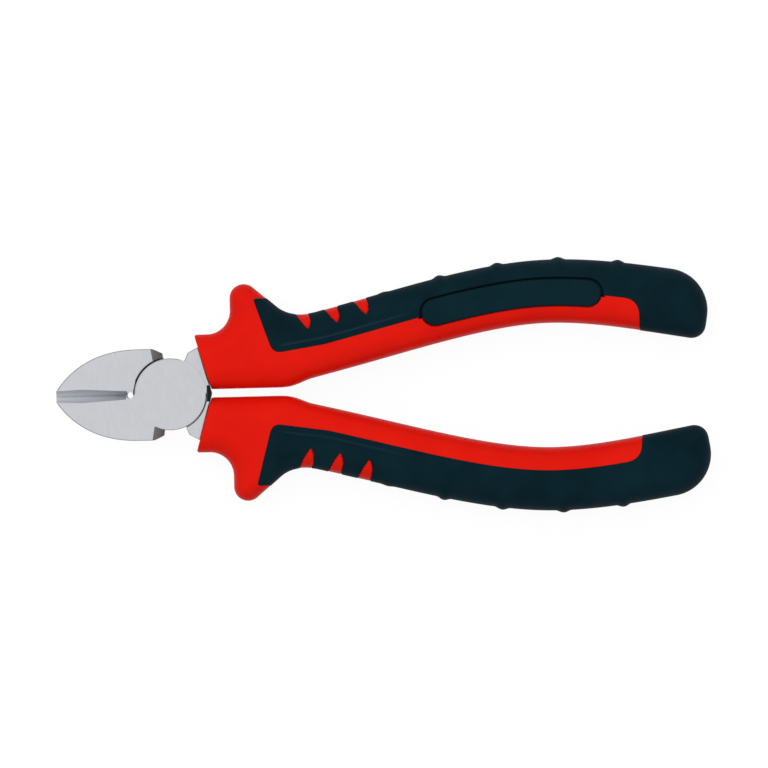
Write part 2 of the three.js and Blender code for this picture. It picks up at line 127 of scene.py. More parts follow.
def arc(centre: Sequence[float], radius: float, start: float, end: float, steps: int) -> Array:
    """Points on a circle about a centre, between two angles in radians."""
    turn = np.linspace(start, end, steps)
    return np.array(centre) + radius * np.stack([np.cos(turn), np.sin(turn)], axis=-1)


def quadratic(a: Array, b: Array, c: Array, steps: int) -> Array:
    """Points on the quadratic curve from a to c that is drawn towards b."""
    t = np.linspace(0.0, 1.0, steps)[:, None]
    return (1 - t) ** 2 * a + 2 * t * (1 - t) * b + t**2 * c


def cubic(a: Array, b: Array, c: Array, d: Array, steps: int) -> Array:
    """Points on the cubic curve from a to d that is drawn towards b and c."""
    t = np.linspace(0.0, 1.0, steps)[:, None]
    return (1 - t) ** 3 * a + 3 * t * (1 - t) ** 2 * b + 3 * t**2 * (1 - t) * c + t**3 * d


def rounded_path(points: list[Array], rounds: list[float], steps: int) -> Array:
    """A path of straight runs whose inner corners are quadratic curves.

    Args:
        points: ends and corners of the path.
        rounds: how far each inner corner's curve reaches along its two runs.
        steps: number of points on each curve.

    Returns:
        Array of shape (n, 2).
    """
    pieces = [points[0][None, :]]
    for before, corner, after, reach in zip(points[:-2], points[1:-1], points[2:], rounds):
        back = corner + reach * (before - corner) / np.linalg.norm(before - corner)
        on = corner + reach * (after - corner) / np.linalg.norm(after - corner)
        pieces.append(quadratic(back, corner, on, steps))
    pieces.append(points[-1][None, :])
    return np.vstack(pieces)


def runs(marks: Sequence[float], counts: Sequence[int]) -> Array:
    """Evenly spaced values from each mark up to the next, without the last mark."""
    return np.concatenate([np.linspace(a, b, n, endpoint=False) for a, b, n in zip(marks, marks[1:], counts)])


def walked(path: Array) -> Array:
    """Distance walked along a path at each of its points."""
    steps = np.linalg.norm(np.diff(path, axis=0), axis=1)
    return np.concatenate([[0.0], np.cumsum(steps)])


def along(path: Array, distance: Array) -> Array:
    """Points at given distances along a path."""
    walk = walked(path)
    return np.stack([np.interp(distance, walk, path[:, k]) for k in range(path.shape[1])], axis=-1)


def path_distance(points: Array, path: Array) -> Array:
    """Shortest distance from each plan point to the segments of a path.

    Each point is dropped onto every segment, the foot is held within the segment, and the least gap is kept.

    Args:
        points: array of shape (..., 2).
        path: array of shape (m, 2).

    Returns:
        Array of the points' leading shape.
    """
    start, step = path[:-1], np.diff(path, axis=0)
    square = np.maximum((step**2).sum(axis=1), TINY)
    flat = points.reshape(-1, 2)
    best = np.empty(len(flat))
    for low in range(0, len(flat), BATCH):
        away = flat[low:low + BATCH, None, :] - start
        share = np.clip((away * step).sum(axis=2) / square, 0.0, 1.0)
        gap = away - share[..., None] * step
        best[low:low + BATCH] = np.sqrt((gap**2).sum(axis=2).min(axis=1))
    return best.reshape(points.shape[:-1])


def signed_distance(points: Array, polygon: Array) -> Array:
    """Distance from each plan point to a closed outline, negative inside it.

    A point is inside where a level line from it crosses the outline an odd number of times.

    Args:
        points: array of shape (..., 2).
        polygon: corners of the outline, of shape (m, 2).

    Returns:
        Array of the points' leading shape.
    """
    closed = np.vstack([polygon, polygon[:1]])
    flat = points.reshape(-1, 2)
    inside = np.zeros(len(flat), dtype=bool)
    for a, b in zip(closed[:-1], closed[1:]):
        spans = (a[1] > flat[:, 1]) != (b[1] > flat[:, 1])
        rise = b[1] - a[1] if b[1] != a[1] else TINY
        cross = a[0] + (flat[:, 1] - a[1]) / rise * (b[0] - a[0])
        inside ^= spans & (flat[:, 0] < cross)
    sign = np.where(inside, -1.0, 1.0).reshape(points.shape[:-1])
    return sign * path_distance(points, closed)


def both(values: dict[Face, Array]) -> Array:
    """Grid columns that run over the pad face outwards and back under the plain face."""
    return np.concatenate([values[Face.PAD], values[Face.PLAIN][:, ::-1]], axis=1)


def grid_faces(rows: int, columns: int) -> Array:
    """Quads of a grid that closes round in its columns.

    Args:
        rows: number of rows of points.
        columns: number of points in a row.

    Returns:
        Array of shape (rows - 1, columns, 4).
    """
    i, j = np.meshgrid(np.arange(rows - 1), np.arange(columns), indexing="ij")
    k = (j + 1) % columns
    corners = [i * columns + j, (i + 1) * columns + j, (i + 1) * columns + k, i * columns + k]
    return np.stack(corners, axis=-1)


def grid_normals(grid: Array, core: Array, open_rows: int = 0) -> Array:
    """Unit normals of a grid that runs over the pad face and back under the plain face.

    They are the cross product of the grid's two directions. Where rows fan out of one point the product can
    turn over, so each is turned away from the core point of its row.

    Args:
        grid: array of shape (rows, columns, 3).
        core: plan points well inside each row, of shape (rows, 2).
        open_rows: count of first rows that don't close round in their columns.

    Returns:
        Array of the grid's shape.
    """
    down = np.gradient(grid, axis=0)
    across = np.roll(grid, -1, axis=1) - np.roll(grid, 1, axis=1)
    across[:open_rows, 0] = grid[:open_rows, 1] - grid[:open_rows, 0]
    across[:open_rows, -1] = grid[:open_rows, -1] - grid[:open_rows, -2]
    normal = np.cross(down, across)
    normal /= np.maximum(np.linalg.norm(normal, axis=-1, keepdims=True), TINY)
    out = grid - np.append(core, np.zeros((len(core), 1)), axis=1)[:, None]
    return np.where((normal * out).sum(axis=-1, keepdims=True) < 0.0, -normal, normal)


def zip_faces(row: int, columns: int) -> Array:
    """Quads that close the last row of a grid, whose second half of columns runs back under the first.

    Args:
        row: index of the last row.
        columns: number of points in a row.

    Returns:
        Array of shape (columns / 2 - 1, 4).
    """
    j = np.arange(columns // 2 - 1)
    top, under = row * columns + j, row * columns + columns - 1 - j
    return np.stack([top, under, under - 1, top + 1], axis=-1)


def close_shell(quads: Array, count: int) -> Array:
    """Quads of a skin, of its inner side and of the rim between them.

    Each edge of the skin that no other quad walks the other way gets a rim quad.

    Args:
        quads: quads of the skin.
        count: number of its points; the inner side's points follow in the same order.

    Returns:
        Array of shape (n, 4).
    """
    ends = np.roll(quads, -1, axis=1)
    first, second = quads.ravel().astype(np.int64), ends.ravel().astype(np.int64)
    lone = ~np.isin(first * count + second, second * count + first)
    a, b = first[lone], second[lone]
    rim = np.stack([b, a, a + count, b + count], axis=-1)
    return np.vstack([quads, quads[:, ::-1] + count, rim])


def smooth_object(name: str, points: Array, faces: Array, sharp: float,
                  crease: Array | None = None) -> bpy.types.Object:
    """A mesh object from points in metres and quads, welded, closed and smoothly shaded.

    Args:
        name: name of the object and its mesh.
        points: array of shape (n, 3).
        faces: array of shape (m, 4); a quad whose corners fall together becomes a triangle or goes.
        sharp: edges that turn more than this many degrees stay sharp.
        crease: how far each point takes a painted highlight (up to 1) or painted shade (down to -1).

    Returns:
        The object, linked to the scene, with its place in its mesh.
    """
    mesh = bpy.data.meshes.new(name)
    mesh.vertices.add(len(points))
    mesh.vertices.foreach_set("co", np.ascontiguousarray(points, dtype=np.float32).ravel())
    mesh.loops.add(faces.size)
    mesh.loops.foreach_set("vertex_index", np.ascontiguousarray(faces, dtype=np.int32).ravel())
    mesh.polygons.add(len(faces))
    mesh.polygons.foreach_set("loop_start", np.arange(0, faces.size, faces.shape[1], dtype=np.int32))
    mesh.update(calc_edges=True)
    if crease is not None:
        mesh.attributes.new(PAINTED_LIGHT, "FLOAT", "POINT").data.foreach_set("value", crease.astype(np.float32))
    shell = bmesh.new()
    shell.from_mesh(mesh)
    bmesh.ops.remove_doubles(shell, verts=shell.verts, dist=WELD)
    bmesh.ops.dissolve_degenerate(shell, edges=shell.edges, dist=SLIVER)
    bmesh.ops.recalc_face_normals(shell, faces=shell.faces)
    shell.to_mesh(mesh)
    shell.free()
    mesh.shade_smooth()
    mesh.set_sharp_from_angle(angle=math.radians(sharp))
    return linked(name, mesh)


def linked(name: str, data: bpy.types.ID) -> bpy.types.Object:
    """A new object with that data, linked to the scene.

    Args:
        name: name of the object.
        data: mesh, camera or lamp.

    Returns:
        The object, at the origin.
    """
    obj = bpy.data.objects.new(name, data)
    bpy.context.scene.collection.objects.link(obj)
    return obj


def dress(obj: bpy.types.Object, finish: bpy.types.Material, body: str, node: str) -> None:
    """Gives a piece its finish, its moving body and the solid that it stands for.

    Args:
        obj: the piece.
        finish: the material.
        body: name of the body that it rides on.
        node: name of the solid that it replaces.
    """
    obj.data.materials.append(finish)
    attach(obj, body)
    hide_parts(node)


class Nodes:
    """A short way to write the nodes of one material or world."""

    def __init__(self, tree: bpy.types.NodeTree) -> None:
        """Keeps the tree and clears it."""
        self.tree = tree
        tree.nodes.clear()

    def add(self, kind: str, links: dict[str | int, object] | None = None,
            **settings: object) -> bpy.types.Node:
        """A node with settings, whose inputs are linked to sockets or given values.

        Args:
            kind: node type without the ShaderNode prefix.
            links: input name or index to an output socket or a value.
            settings: properties of the node.

        Returns:
            The new node.
        """
        node = self.tree.nodes.new("ShaderNode" + kind)
        for name, value in settings.items():
            setattr(node, name, value)
        for key, value in (links or {}).items():
            if isinstance(value, bpy.types.NodeSocket):
                self.tree.links.new(value, node.inputs[key])
            else:
                node.inputs[key].default_value = value
        return node

    def math(self, operation: str, *values: object) -> bpy.types.NodeSocket:
        """Output of one sum of up to three values."""
        return self.add("Math", dict(enumerate(values)), operation=operation).outputs[0]

    def blend(self, a: object, b: object, share: float) -> bpy.types.NodeSocket:
        """A share of one value and the rest of another."""
        return self.math("ADD", self.math("MULTIPLY", a, share), self.math("MULTIPLY", b, 1.0 - share))

    def ramp(self, value: object, low: float, high: float) -> bpy.types.NodeSocket:
        """A smooth step from 0 at low to 1 at high."""
        links = {"Value": value, "From Min": low, "From Max": high}
        return self.add("MapRange", links, interpolation_type="SMOOTHSTEP").outputs["Result"]

    def mix(self, share: object, a: object, b: object) -> bpy.types.NodeSocket:
        """A colour between two colours, by the colour sockets of a Mix node."""
        return self.add("Mix", {0: share, 6: a, 7: b}, data_type="RGBA").outputs[2]

    def noise(self, vector: object, scale: float, detail: float,
              rough: float = 0.55) -> bpy.types.NodeSocket:
        """Grey noise on a vector."""
        links = {"Vector": vector, "Scale": scale, "Detail": detail, "Roughness": rough}
        return self.add("TexNoise", links).outputs["Fac"]

    def principled(self, links: dict[str, object]) -> None:
        """Ends a material with a principled shader."""
        shader = self.add("BsdfPrincipled", links)
        self.add("OutputMaterial", {"Surface": shader.outputs["BSDF"]})


def rgba(colour: Colour) -> tuple[float, float, float, float]:
    """A colour with full cover."""
    return (*colour, 1.0)


def new_material(name: str) -> tuple[bpy.types.Material, Nodes]:
    """A material with no nodes yet, and the way to write them.

    Args:
        name: name of the material.

    Returns:
        The material and its nodes.
    """
    material = bpy.data.materials.new(name)
    material.use_nodes = True
    return material, Nodes(material.node_tree)


@dataclass(frozen=True)
class MouldedFinish:
    """A moulded plastic or rubber: two close shades in soft clouds, over a fine eroded grain.

    Attributes:
        name: material name.
        light: lighter shade, linear.
        dark: darker shade, linear.
        rough: mean roughness.
        shine: specular level.
        grain: size of the grain in millimetres.
        depth: height of the grain in millimetres.
        crease: colour of the painted highlight on the scoop's border, linear, or none.
        seam_shadow: colour of the painted shade along the line where it meets another piece, linear.
        cloud: size of the clouds in millimetres.
        cloud_share: share of the shade that the clouds make; the grain makes the rest.
        rough_spread: how far the grain spreads the roughness.
        bump: strength of the grain's bump.
    """

    name: str
    light: Colour
    dark: Colour
    rough: float
    shine: float
    grain: float
    depth: float
    crease: Colour | None = None
    seam_shadow: Colour = (0.0, 0.0, 0.0)
    cloud: float = 9.0
    cloud_share: float = 0.8
    rough_spread: float = 0.16
    bump: float = 0.6

    def material(self) -> bpy.types.Material:
        """The node material, on object coordinates and the attribute of painted highlights and painted shade.

        Returns:
            The new material.
        """
        material, nodes = new_material(self.name)
        place = nodes.add("TexCoord").outputs["Object"]
        cloud = nodes.noise(place, 1.0 / (self.cloud * MM), detail=3.0)
        grain = nodes.noise(place, 1.0 / (self.grain * MM), detail=2.0)
        shade = nodes.ramp(nodes.blend(cloud, grain, self.cloud_share), *NOISE_SPAN)
        rough = nodes.math("MULTIPLY_ADD", grain, self.rough_spread, self.rough - self.rough_spread / 2)
        bump = nodes.add("Bump", {"Height": grain, "Strength": self.bump, "Distance": self.depth * MM})
        colour = nodes.mix(shade, rgba(self.dark), rgba(self.light))
        if self.crease is not None:
            mark = nodes.add("Attribute", attribute_name=PAINTED_LIGHT).outputs["Fac"]
            # Painted highlight: a lighter colour on the scoop's border.
            colour = nodes.mix(nodes.ramp(mark, 0.0, 1.0), colour, rgba(self.crease))
            # Painted shade: a darker colour along the parting line.
            colour = nodes.mix(nodes.ramp(mark, 0.0, -1.0), colour, rgba(self.seam_shadow))
        nodes.principled({
            "Base Color": colour,
            "Roughness": rough,
            "Specular IOR Level": self.shine,
            "Normal": bump.outputs["Normal"],
        })
        return material


@dataclass(frozen=True)
class ForgedFinish:
    """Ground and plated steel: flat faces with fine grinding lines, duller bevels with painted light at their
    foot, slanting faces partly painted shade, a near-black crotch.

    The masks are ramps on places in millimetres from the pivot and on the rise of the surface's normal. Each
    span gives the value where its mask starts and the value where it is full.

    Attributes:
        name: material name.
        flat: colour of the ground flat faces, linear.
        bevel: colour of the cutting bevels, linear.
        painted_bevel_light: painted light, a brighter colour at the foot of the bevels, where little light
            falls, linear.
        slant: colour of the shoulder faces and broken edges, linear; partly their duller finish, partly
            painted shade that draws a dark rim round the head.
        black: near-black colour of the crotch between the necks, linear.
        rough: roughness of the flat faces.
        grind_turn: turn of the grinding lines in radians.
        grind_scale: how fine the grinding is along each axis.
        cloud_scale: how fine the clouds are.
        grind_share: share of the tone that the grinding makes; the clouds make the rest.
        tone_spread: how far the flat faces' tone goes up and down, as a share.
        groove_side: distance outside the bevels' edge.
        groove_front: x of the bevels' rear end.
        tilted: rise of the normal where a face is no longer flat.
        standing: rise of the normal where a face no longer stands upright.
        foot: height of the bevels' foot from the middle.
        crotch_front: x of the crotch's front.
        crotch_side: reach of the crotch to both sides.
        crotch_back: x of the crotch's back.
        slant_dull: how far the slanting faces lose their metal.
        rough_spread: how far the grinding spreads the roughness.
        bump: strength of the grinding's bump.
        bump_height: height of the grinding in millimetres.
        shine: specular level of the dull faces.
    """

    name: str
    flat: Colour
    bevel: Colour
    painted_bevel_light: Colour
    slant: Colour
    black: Colour
    rough: float
    grind_turn: float = 0.12
    grind_scale: tuple[float, float, float] = (5.0, 0.35, 0.8)
    cloud_scale: float = 0.35
    grind_share: float = 0.7
    tone_spread: float = 0.045
    groove_side: Span = (0.4, 0.3)
    groove_front: Span = (-9.5, -9.7)
    tilted: Span = (0.97, 0.88)
    standing: Span = (0.15, 0.35)
    foot: Span = (3.6, 0.4)
    crotch_front: Span = (8.86, 9.0)
    crotch_side: Span = (2.05, 1.95)
    crotch_back: Span = (12.0, 11.0)
    slant_dull: float = 0.6
    rough_spread: float = 0.14
    bump: float = 0.25
    bump_height: float = 0.01
    shine: float = 0.15

    def _masks(self, nodes: Nodes, place: object, normal: object) -> dict[str, bpy.types.NodeSocket]:
        """Where each colour lies.

        Args:
            nodes: nodes of the material.
            place: vector from the pivot in millimetres.
            normal: normal in object coordinates.

        Returns:
            Shares by name: the slanting faces, dulled and painted darker as shade; the cutting bevels; their
                foot, where painted light brightens them; and the crotch.
        """
        split = nodes.add("SeparateXYZ", {"Vector": place}).outputs
        x, y, z = split["X"], nodes.math("ABSOLUTE", split["Y"]), nodes.math("ABSOLUTE", split["Z"])
        rise = nodes.math("ABSOLUTE", nodes.add("SeparateXYZ", {"Vector": normal}).outputs["Z"])
        tilted = nodes.ramp(rise, *self.tilted)
        width = nodes.math("MULTIPLY_ADD", x, -BEVEL_GROW, BEVEL_ROOT)
        side = nodes.ramp(nodes.math("SUBTRACT", y, width), *self.groove_side)
        groove = nodes.math("MULTIPLY", side, nodes.ramp(x, *self.groove_front))
        crotch = nodes.math("MULTIPLY", nodes.ramp(x, *self.crotch_front), nodes.ramp(y, *self.crotch_side))
        return {
            "slant": nodes.math("MULTIPLY", tilted, nodes.ramp(rise, *self.standing)),
            "groove": nodes.math("MULTIPLY", groove, tilted),
            "foot": nodes.ramp(z, *self.foot),
            "crotch": nodes.math("MULTIPLY", crotch, nodes.ramp(x, *self.crotch_back)),
        }

    def material(self) -> bpy.types.Material:
        """The node material, on object coordinates and the object's own normals.

        Returns:
            The new material.
        """
        material, nodes = new_material(self.name)
        coordinates = nodes.add("TexCoord").outputs
        pivot = (PIVOT_X * MM, 0.0, PIVOT_Z * MM)
        shift = nodes.add("VectorMath", {0: coordinates["Object"], 1: pivot}, operation="SUBTRACT")
        scale = nodes.add("VectorMath", {0: shift.outputs[0], "Scale": 1.0 / MM}, operation="SCALE")
        place = scale.outputs[0]
        mask = self._masks(nodes, place, coordinates["Normal"])
        turn = (0.0, 0.0, self.grind_turn)
        lines = nodes.add("Mapping", {"Vector": place, "Rotation": turn, "Scale": self.grind_scale})
        grind = nodes.noise(lines.outputs[0], 1.0, detail=4.0)
        cloud = nodes.noise(place, self.cloud_scale, detail=2.0)
        tone = nodes.ramp(nodes.blend(grind, cloud, self.grind_share), *NOISE_SPAN)
        light = tuple(c * (1.0 + self.tone_spread) for c in self.flat)
        dim = tuple(c * (1.0 - self.tone_spread) for c in self.flat)
        # Painted light: the bevels are painted brighter towards their foot, where little light falls.
        bevel = nodes.mix(mask["foot"], rgba(self.bevel), rgba(self.painted_bevel_light))
        colour = nodes.mix(tone, rgba(dim), rgba(light))
        # Painted shade: slanting faces and broken edges are painted darker, partly for their duller finish,
        # which draws a dark rim round the head.
        colour = nodes.mix(mask["slant"], colour, rgba(self.slant))
        colour = nodes.mix(mask["groove"], colour, bevel)
        colour = nodes.mix(mask["crotch"], colour, rgba(self.black))
        dull = nodes.math("MULTIPLY", mask["slant"], self.slant_dull)
        dull = nodes.math("MAXIMUM", dull, mask["groove"])
        dull = nodes.math("MAXIMUM", dull, mask["crotch"])
        rough = nodes.math("MULTIPLY_ADD", grind, self.rough_spread, self.rough - self.rough_spread / 2)
        bump = nodes.add("Bump", {"Height": grind, "Strength": self.bump, "Distance": self.bump_height * MM})
        nodes.principled({
            "Base Color": colour,
            "Roughness": rough,
            "Metallic": nodes.math("SUBTRACT", 1.0, dull),
            "Specular IOR Level": self.shine,
            "Normal": bump.outputs["Normal"],
        })
        return material


@dataclass(frozen=True)
class HandleSizes:
    """Sizes of one handle in millimetres and radians.

    They are those of its solids, but for the tail, which ends 0.15 mm sooner: the overmould stands a little
    proud of this form and still stays inside the solids' box. Each hold is the share of its stretch over
    which the spine keeps its direction.
    """

    front_x: float = 10.2
    front_slant: float = math.radians(15.6)
    handle_gap: float = 2.0
    collar_top: float = 14.45
    collar_length: float = 2.75
    collar_thickness: float = 12.4
    collar_fillet: float = 5.8
    collar_edge: float = 0.5
    collar_lead: float = 3.0
    seat_gap: float = 0.26
    guard_top: float = 26.55
    guard_radius: float = 3.45
    guard_back_angle: float = math.radians(40.5)
    saddle_length: float = 19.45
    saddle_share: float = 0.62
    bend_length: float = 8.5
    grip_start_y: float = 11.8
    grip_angle: float = math.radians(13.8)
    swell_x: float = 94.0
    swell_y: float = 22.95
    tail_x: float = 132.15
    tail_y: float = 18.1
    tail_angle: float = math.radians(-9.6)
    climb_hold: float = 0.39
    crest_hold: float = 0.29
    fall_hold: float = 0.31
    tail_hold: float = 0.37
    grip_width: float = 15.4
    tail_width: float = 16.0
    grip_thickness: float = 14.0
    edge_round: float = 5.6
    side_flat: float = 2.4
    tail_outer_radius: float = 10.3
    tail_inner_radius: float = 3.4
    tang_width: float = 7.6
    tang_end_width: float = 6.2
    tang_thickness: float = 6.6
    tang_length: float = 76.3


@dataclass
class HandleForm:
    """The skin of a handle: its two edges in plan and its height above them.

    Attributes:
        sizes: sizes of the handle.
        climb_steps: points on the spine's climb to the swell.
        fall_steps: points on its fall to the tail.
        arc_steps: points on the arcs of the collar and the flank.
        turn_steps: points on the guard's top and on the tail's outer corner.
        corner_steps: points on the tail's inner corner.
        curve_steps: points on the saddle and on the inner edge's front.
        grip_steps: points on each side of the grip.
        front_lead: how far the inner edge starts ahead of the front, in millimetres.
        core_hold: rows nearer the tail's end than this share one core point, in millimetres.
        edge_least: least distance to an edge that counts, in millimetres.
        flank_x: where the guard's front side stands.
        guard_x: where the guard's top lies.
        spine_path: points of the spine.
        spine_walk: distance along the spine at each of them.
        spine_ahead: its direction there.
        length: length of the spine.
        grip_inner: inner end of the row at the front of the spine.
        grip_outer: outer end of that row.
        flank_path: collar and flank up to the guard's top.
        back_front: back of the guard and saddle.
        back_path: back of the guard, saddle and outer edge to the tail.
        inner_path: inner edge from the front to the tail.
    """

    sizes: HandleSizes
    climb_steps: int = 900
    fall_steps: int = 600
    arc_steps: int = 40
    turn_steps: int = 24
    corner_steps: int = 16
    curve_steps: int = 60
    grip_steps: int = 160
    front_lead: float = 1.0
    core_hold: float = 8.0
    edge_least: float = 1e-5
    flank_x: float = field(init=False)
    guard_x: float = field(init=False)
    spine_path: Array = field(init=False)
    spine_walk: Array = field(init=False)
    spine_ahead: Array = field(init=False)
    length: float = field(init=False)
    grip_inner: Array = field(init=False)
    grip_outer: Array = field(init=False)
    flank_path: Array = field(init=False)
    back_front: Array = field(init=False)
    back_path: Array = field(init=False)
    inner_path: Array = field(init=False)

    def __post_init__(self) -> None:
        """Works out the spine and the edges."""
        s = self.sizes
        collar = self.front_line(np.array(s.collar_top), 0.0)
        self.flank_x = float(collar[0] + s.collar_length + s.collar_fillet)
        self.guard_x = self.flank_x + s.guard_radius
        self._spine()
        self.grip_inner = self.beside(np.array(0.0), np.array(0.0))
        self.grip_outer = self.beside(np.array(0.0), np.array(s.grip_width))
        self._outer_edges()
        self._inner_edge()

    def front_line(self, y: Array, moved: float) -> Array:
        """Points of the slanting front line.

        Args:
            y: heights on the line.
            moved: how far the line is moved back along the handle.

        Returns:
            Array with a last axis of two.
        """
        s = self.sizes
        x = s.front_x - (y - s.handle_gap / 2) * math.tan(s.front_slant) + moved / math.cos(s.front_slant)
        return np.stack([x, y], axis=-1)

    def _spine(self) -> None:
        """The spine: one cubic that climbs to the swell and one that falls to the tail."""
        s = self.sizes
        start = np.array([self.guard_x + s.saddle_length, s.grip_start_y])
        swell, tail = np.array([s.swell_x, s.swell_y]), np.array([s.tail_x, s.tail_y])
        climb, fall = s.swell_x - start[0], s.tail_x - s.swell_x
        level = np.array([1.0, 0.0])
        rise = np.array([1.0, math.tan(s.grip_angle)])
        drop = np.array([1.0, math.tan(s.tail_angle)])
        leave, reach = start + s.climb_hold * climb * rise, swell - s.crest_hold * climb * level
        first = cubic(start, leave, reach, swell, self.climb_steps)
        leave, reach = swell + s.fall_hold * fall * level, tail - s.tail_hold * fall * drop
        second = cubic(swell, leave, reach, tail, self.fall_steps)
        self.spine_path = np.vstack([first, second[1:]])
        self.spine_walk = walked(self.spine_path)
        self.length = float(self.spine_walk[-1])
        ahead = np.gradient(self.spine_path, self.spine_walk, axis=0)
        self.spine_ahead = ahead / np.linalg.norm(ahead, axis=1, keepdims=True)

    def width(self, distance: Array) -> Array:
        """Width of the grip: a smooth step from the grip's to the tail's over the rear half."""
        s, share = self.sizes, smoothstep(distance, self.length / 2, self.length)
        return s.grip_width + (s.tail_width - s.grip_width) * share

    def spine(self, distance: Array) -> tuple[Array, Array]:
        """Places on the spine and the directions across the handle there.

        Args:
            distance: distances from the front of the spine.

        Returns:
            Places and unit vectors, each with a last axis of two.
        """
        walk = self.spine_walk
        centre = np.stack([np.interp(distance, walk, self.spine_path[:, k]) for k in (0, 1)], axis=-1)
        ahead = np.stack([np.interp(distance, walk, self.spine_ahead[:, k]) for k in (0, 1)], axis=-1)
        return centre, np.stack([-ahead[..., 1], ahead[..., 0]], axis=-1)

    def beside(self, distance: Array, offset: Array) -> Array:
        """Points beside the spine, counted outwards from the inner edge."""
        centre, across = self.spine(distance)
        return centre + across * (offset - self.width(distance) / 2)[..., None]

    def inner_height(self, x: Array) -> Array:
        """Height of the inner edge near the front: level, then a smooth step onto the grip's climb.

        Args:
            x: places along the handle.

        Returns:
            Array of the same shape.
        """
        s = self.sizes
        climb = math.tan(s.grip_angle)
        bend = self.grip_inner[0] - (self.grip_inner[1] - s.handle_gap / 2) / climb
        return s.handle_gap / 2 + smoothstep(x, bend, bend + s.bend_length) * climb * (x - bend)

    def tail_inner(self, distance: Array) -> Array:
        """Inner edge of the grip with its rounded tail corner."""
        return self.beside(distance, round_loss(self.sizes.tail_inner_radius, self.length - distance))

    def tail_outer(self, distance: Array) -> Array:
        """Outer edge of the grip with its rounded tail corner."""
        loss = round_loss(self.sizes.tail_outer_radius, self.length - distance)
        return self.beside(distance, self.width(distance) - loss)

    def corner(self, radius: float, steps: int) -> Array:
        """Distances along the spine that step evenly round a tail corner of that radius."""
        return self.length - radius * (1 - np.sin(np.linspace(0, math.pi / 2, steps)))

    def _outer_edges(self) -> None:
        """The outer edge in plan: collar and flank up to the guard's top, and from there back to the tail."""
        s = self.sizes
        hub = np.array([self.guard_x, s.guard_top - s.guard_radius])
        leave = math.pi / 2 - s.guard_back_angle
        fillet = (self.flank_x - s.collar_fillet, s.collar_top + s.collar_fillet)
        self.flank_path = np.vstack([
            self.front_line(np.array([s.collar_top]), -s.seat_gap),
            arc(fillet, s.collar_fillet, -math.pi / 2, 0.0, self.arc_steps),
            arc(hub, s.guard_radius, math.pi, math.pi / 2, self.arc_steps),
        ])
        crest = hub + s.guard_radius * np.array([math.cos(leave), math.sin(leave)])
        fall, climb = math.tan(s.guard_back_angle), math.tan(s.grip_angle)
        end = self.grip_outer
        meet = (crest[1] - end[1] + fall * crest[0] + climb * end[0]) / (fall + climb)
        saddle = np.array([meet, end[1] + climb * (meet - end[0])])
        self.back_front = np.vstack([
            arc(hub, s.guard_radius, math.pi / 2, leave, self.turn_steps),
            quadratic(crest + s.saddle_share * (saddle - crest), saddle, end, self.curve_steps),
        ])
        straight = np.linspace(0.0, self.length - s.tail_outer_radius, self.grip_steps)
        run = np.concatenate([straight[1:], self.corner(s.tail_outer_radius, self.turn_steps)[1:]])
        self.back_path = np.vstack([self.back_front, self.tail_outer(run)])

    def _inner_edge(self) -> None:
        """The inner edge in plan, from ahead of the front round the tail to the outer edge's end."""
        s = self.sizes
        straight = np.linspace(0.0, self.length - s.tail_inner_radius, self.grip_steps)
        rear = np.concatenate([straight, self.corner(s.tail_inner_radius, self.corner_steps)[1:]])
        front = np.linspace(s.front_x - self.front_lead, self.grip_inner[0], self.curve_steps)[:-1]
        level = np.stack([front, self.inner_height(front)], axis=-1)
        self.inner_path = np.vstack([level, self.tail_inner(rear), self.back_path[-1:]])

    def outer_at(self, reach: Array) -> Array:
        """Outer edge at distances past the front of the spine; negative ones run back over the saddle.

        Args:
            reach: the distances.

        Returns:
            Array with a last axis of two.
        """
        front = along(self.back_front, walked(self.back_front)[-1] + np.minimum(reach, 0.0))
        rear = self.tail_outer(np.maximum(reach, 0.0))
        return np.where((reach < 0.0)[..., None], front, rear)

    def height(self, plan: Array) -> Array:
        """Height of the skin over plan points.

        The distances to the three edges join into one smooth distance: the sum of their inverse fourth
        powers, to the power of minus a quarter. So no ridge shows where two edges are near. An elliptical
        quarter then lifts the skin from the flat of the side to the crown.

        Args:
            plan: array of shape (..., 2).

        Returns:
            Heights of the leading shape.
        """
        s = self.sizes
        total = np.zeros(plan.shape[:-1])
        for path in (self.inner_path, self.flank_path, self.back_path):
            total += np.maximum(path_distance(plan, path), self.edge_least) ** -4.0
        rise = 1.0 - np.minimum(total**-0.25 / s.edge_round, 1.0)
        share = smoothstep(plan[..., 0], s.front_x - s.collar_lead, self.grip_inner[0])
        half = (s.collar_thickness + (s.grip_thickness - s.collar_thickness) * share) / 2
        return s.side_flat / 2 + (half - s.side_flat / 2) * np.sqrt(1.0 - rise**2)

    def core(self, start: Array, end: Array, distance: Array) -> Array:
        """Plan points inside the rows between two edges; near the tail they stay on the spine.

        Args:
            start: first ends of the rows.
            end: last ends of the rows.
            distance: distances of the rows along the spine.

        Returns:
            Array of shape (rows, 2).
        """
        tail = self.length - self.core_hold
        centre, _ = self.spine(np.full(len(distance), tail))
        return np.where((distance > tail)[:, None], centre, (start + end) / 2)

    def tail_normal(self) -> Array:
        """Direction in which the tail's end faces."""
        _, across = self.spine(np.array(self.length))
        return np.array([across[1], -across[0], 0.0])

    def ring(self, plans: dict[Face, Array]) -> Array:
        """Skin grid whose columns run over the pad face outwards and back under the plain face."""
        return both({face: np.concatenate([plan, face.value * self.height(plan)[..., None]], axis=-1)
                     for face, plan in plans.items()})


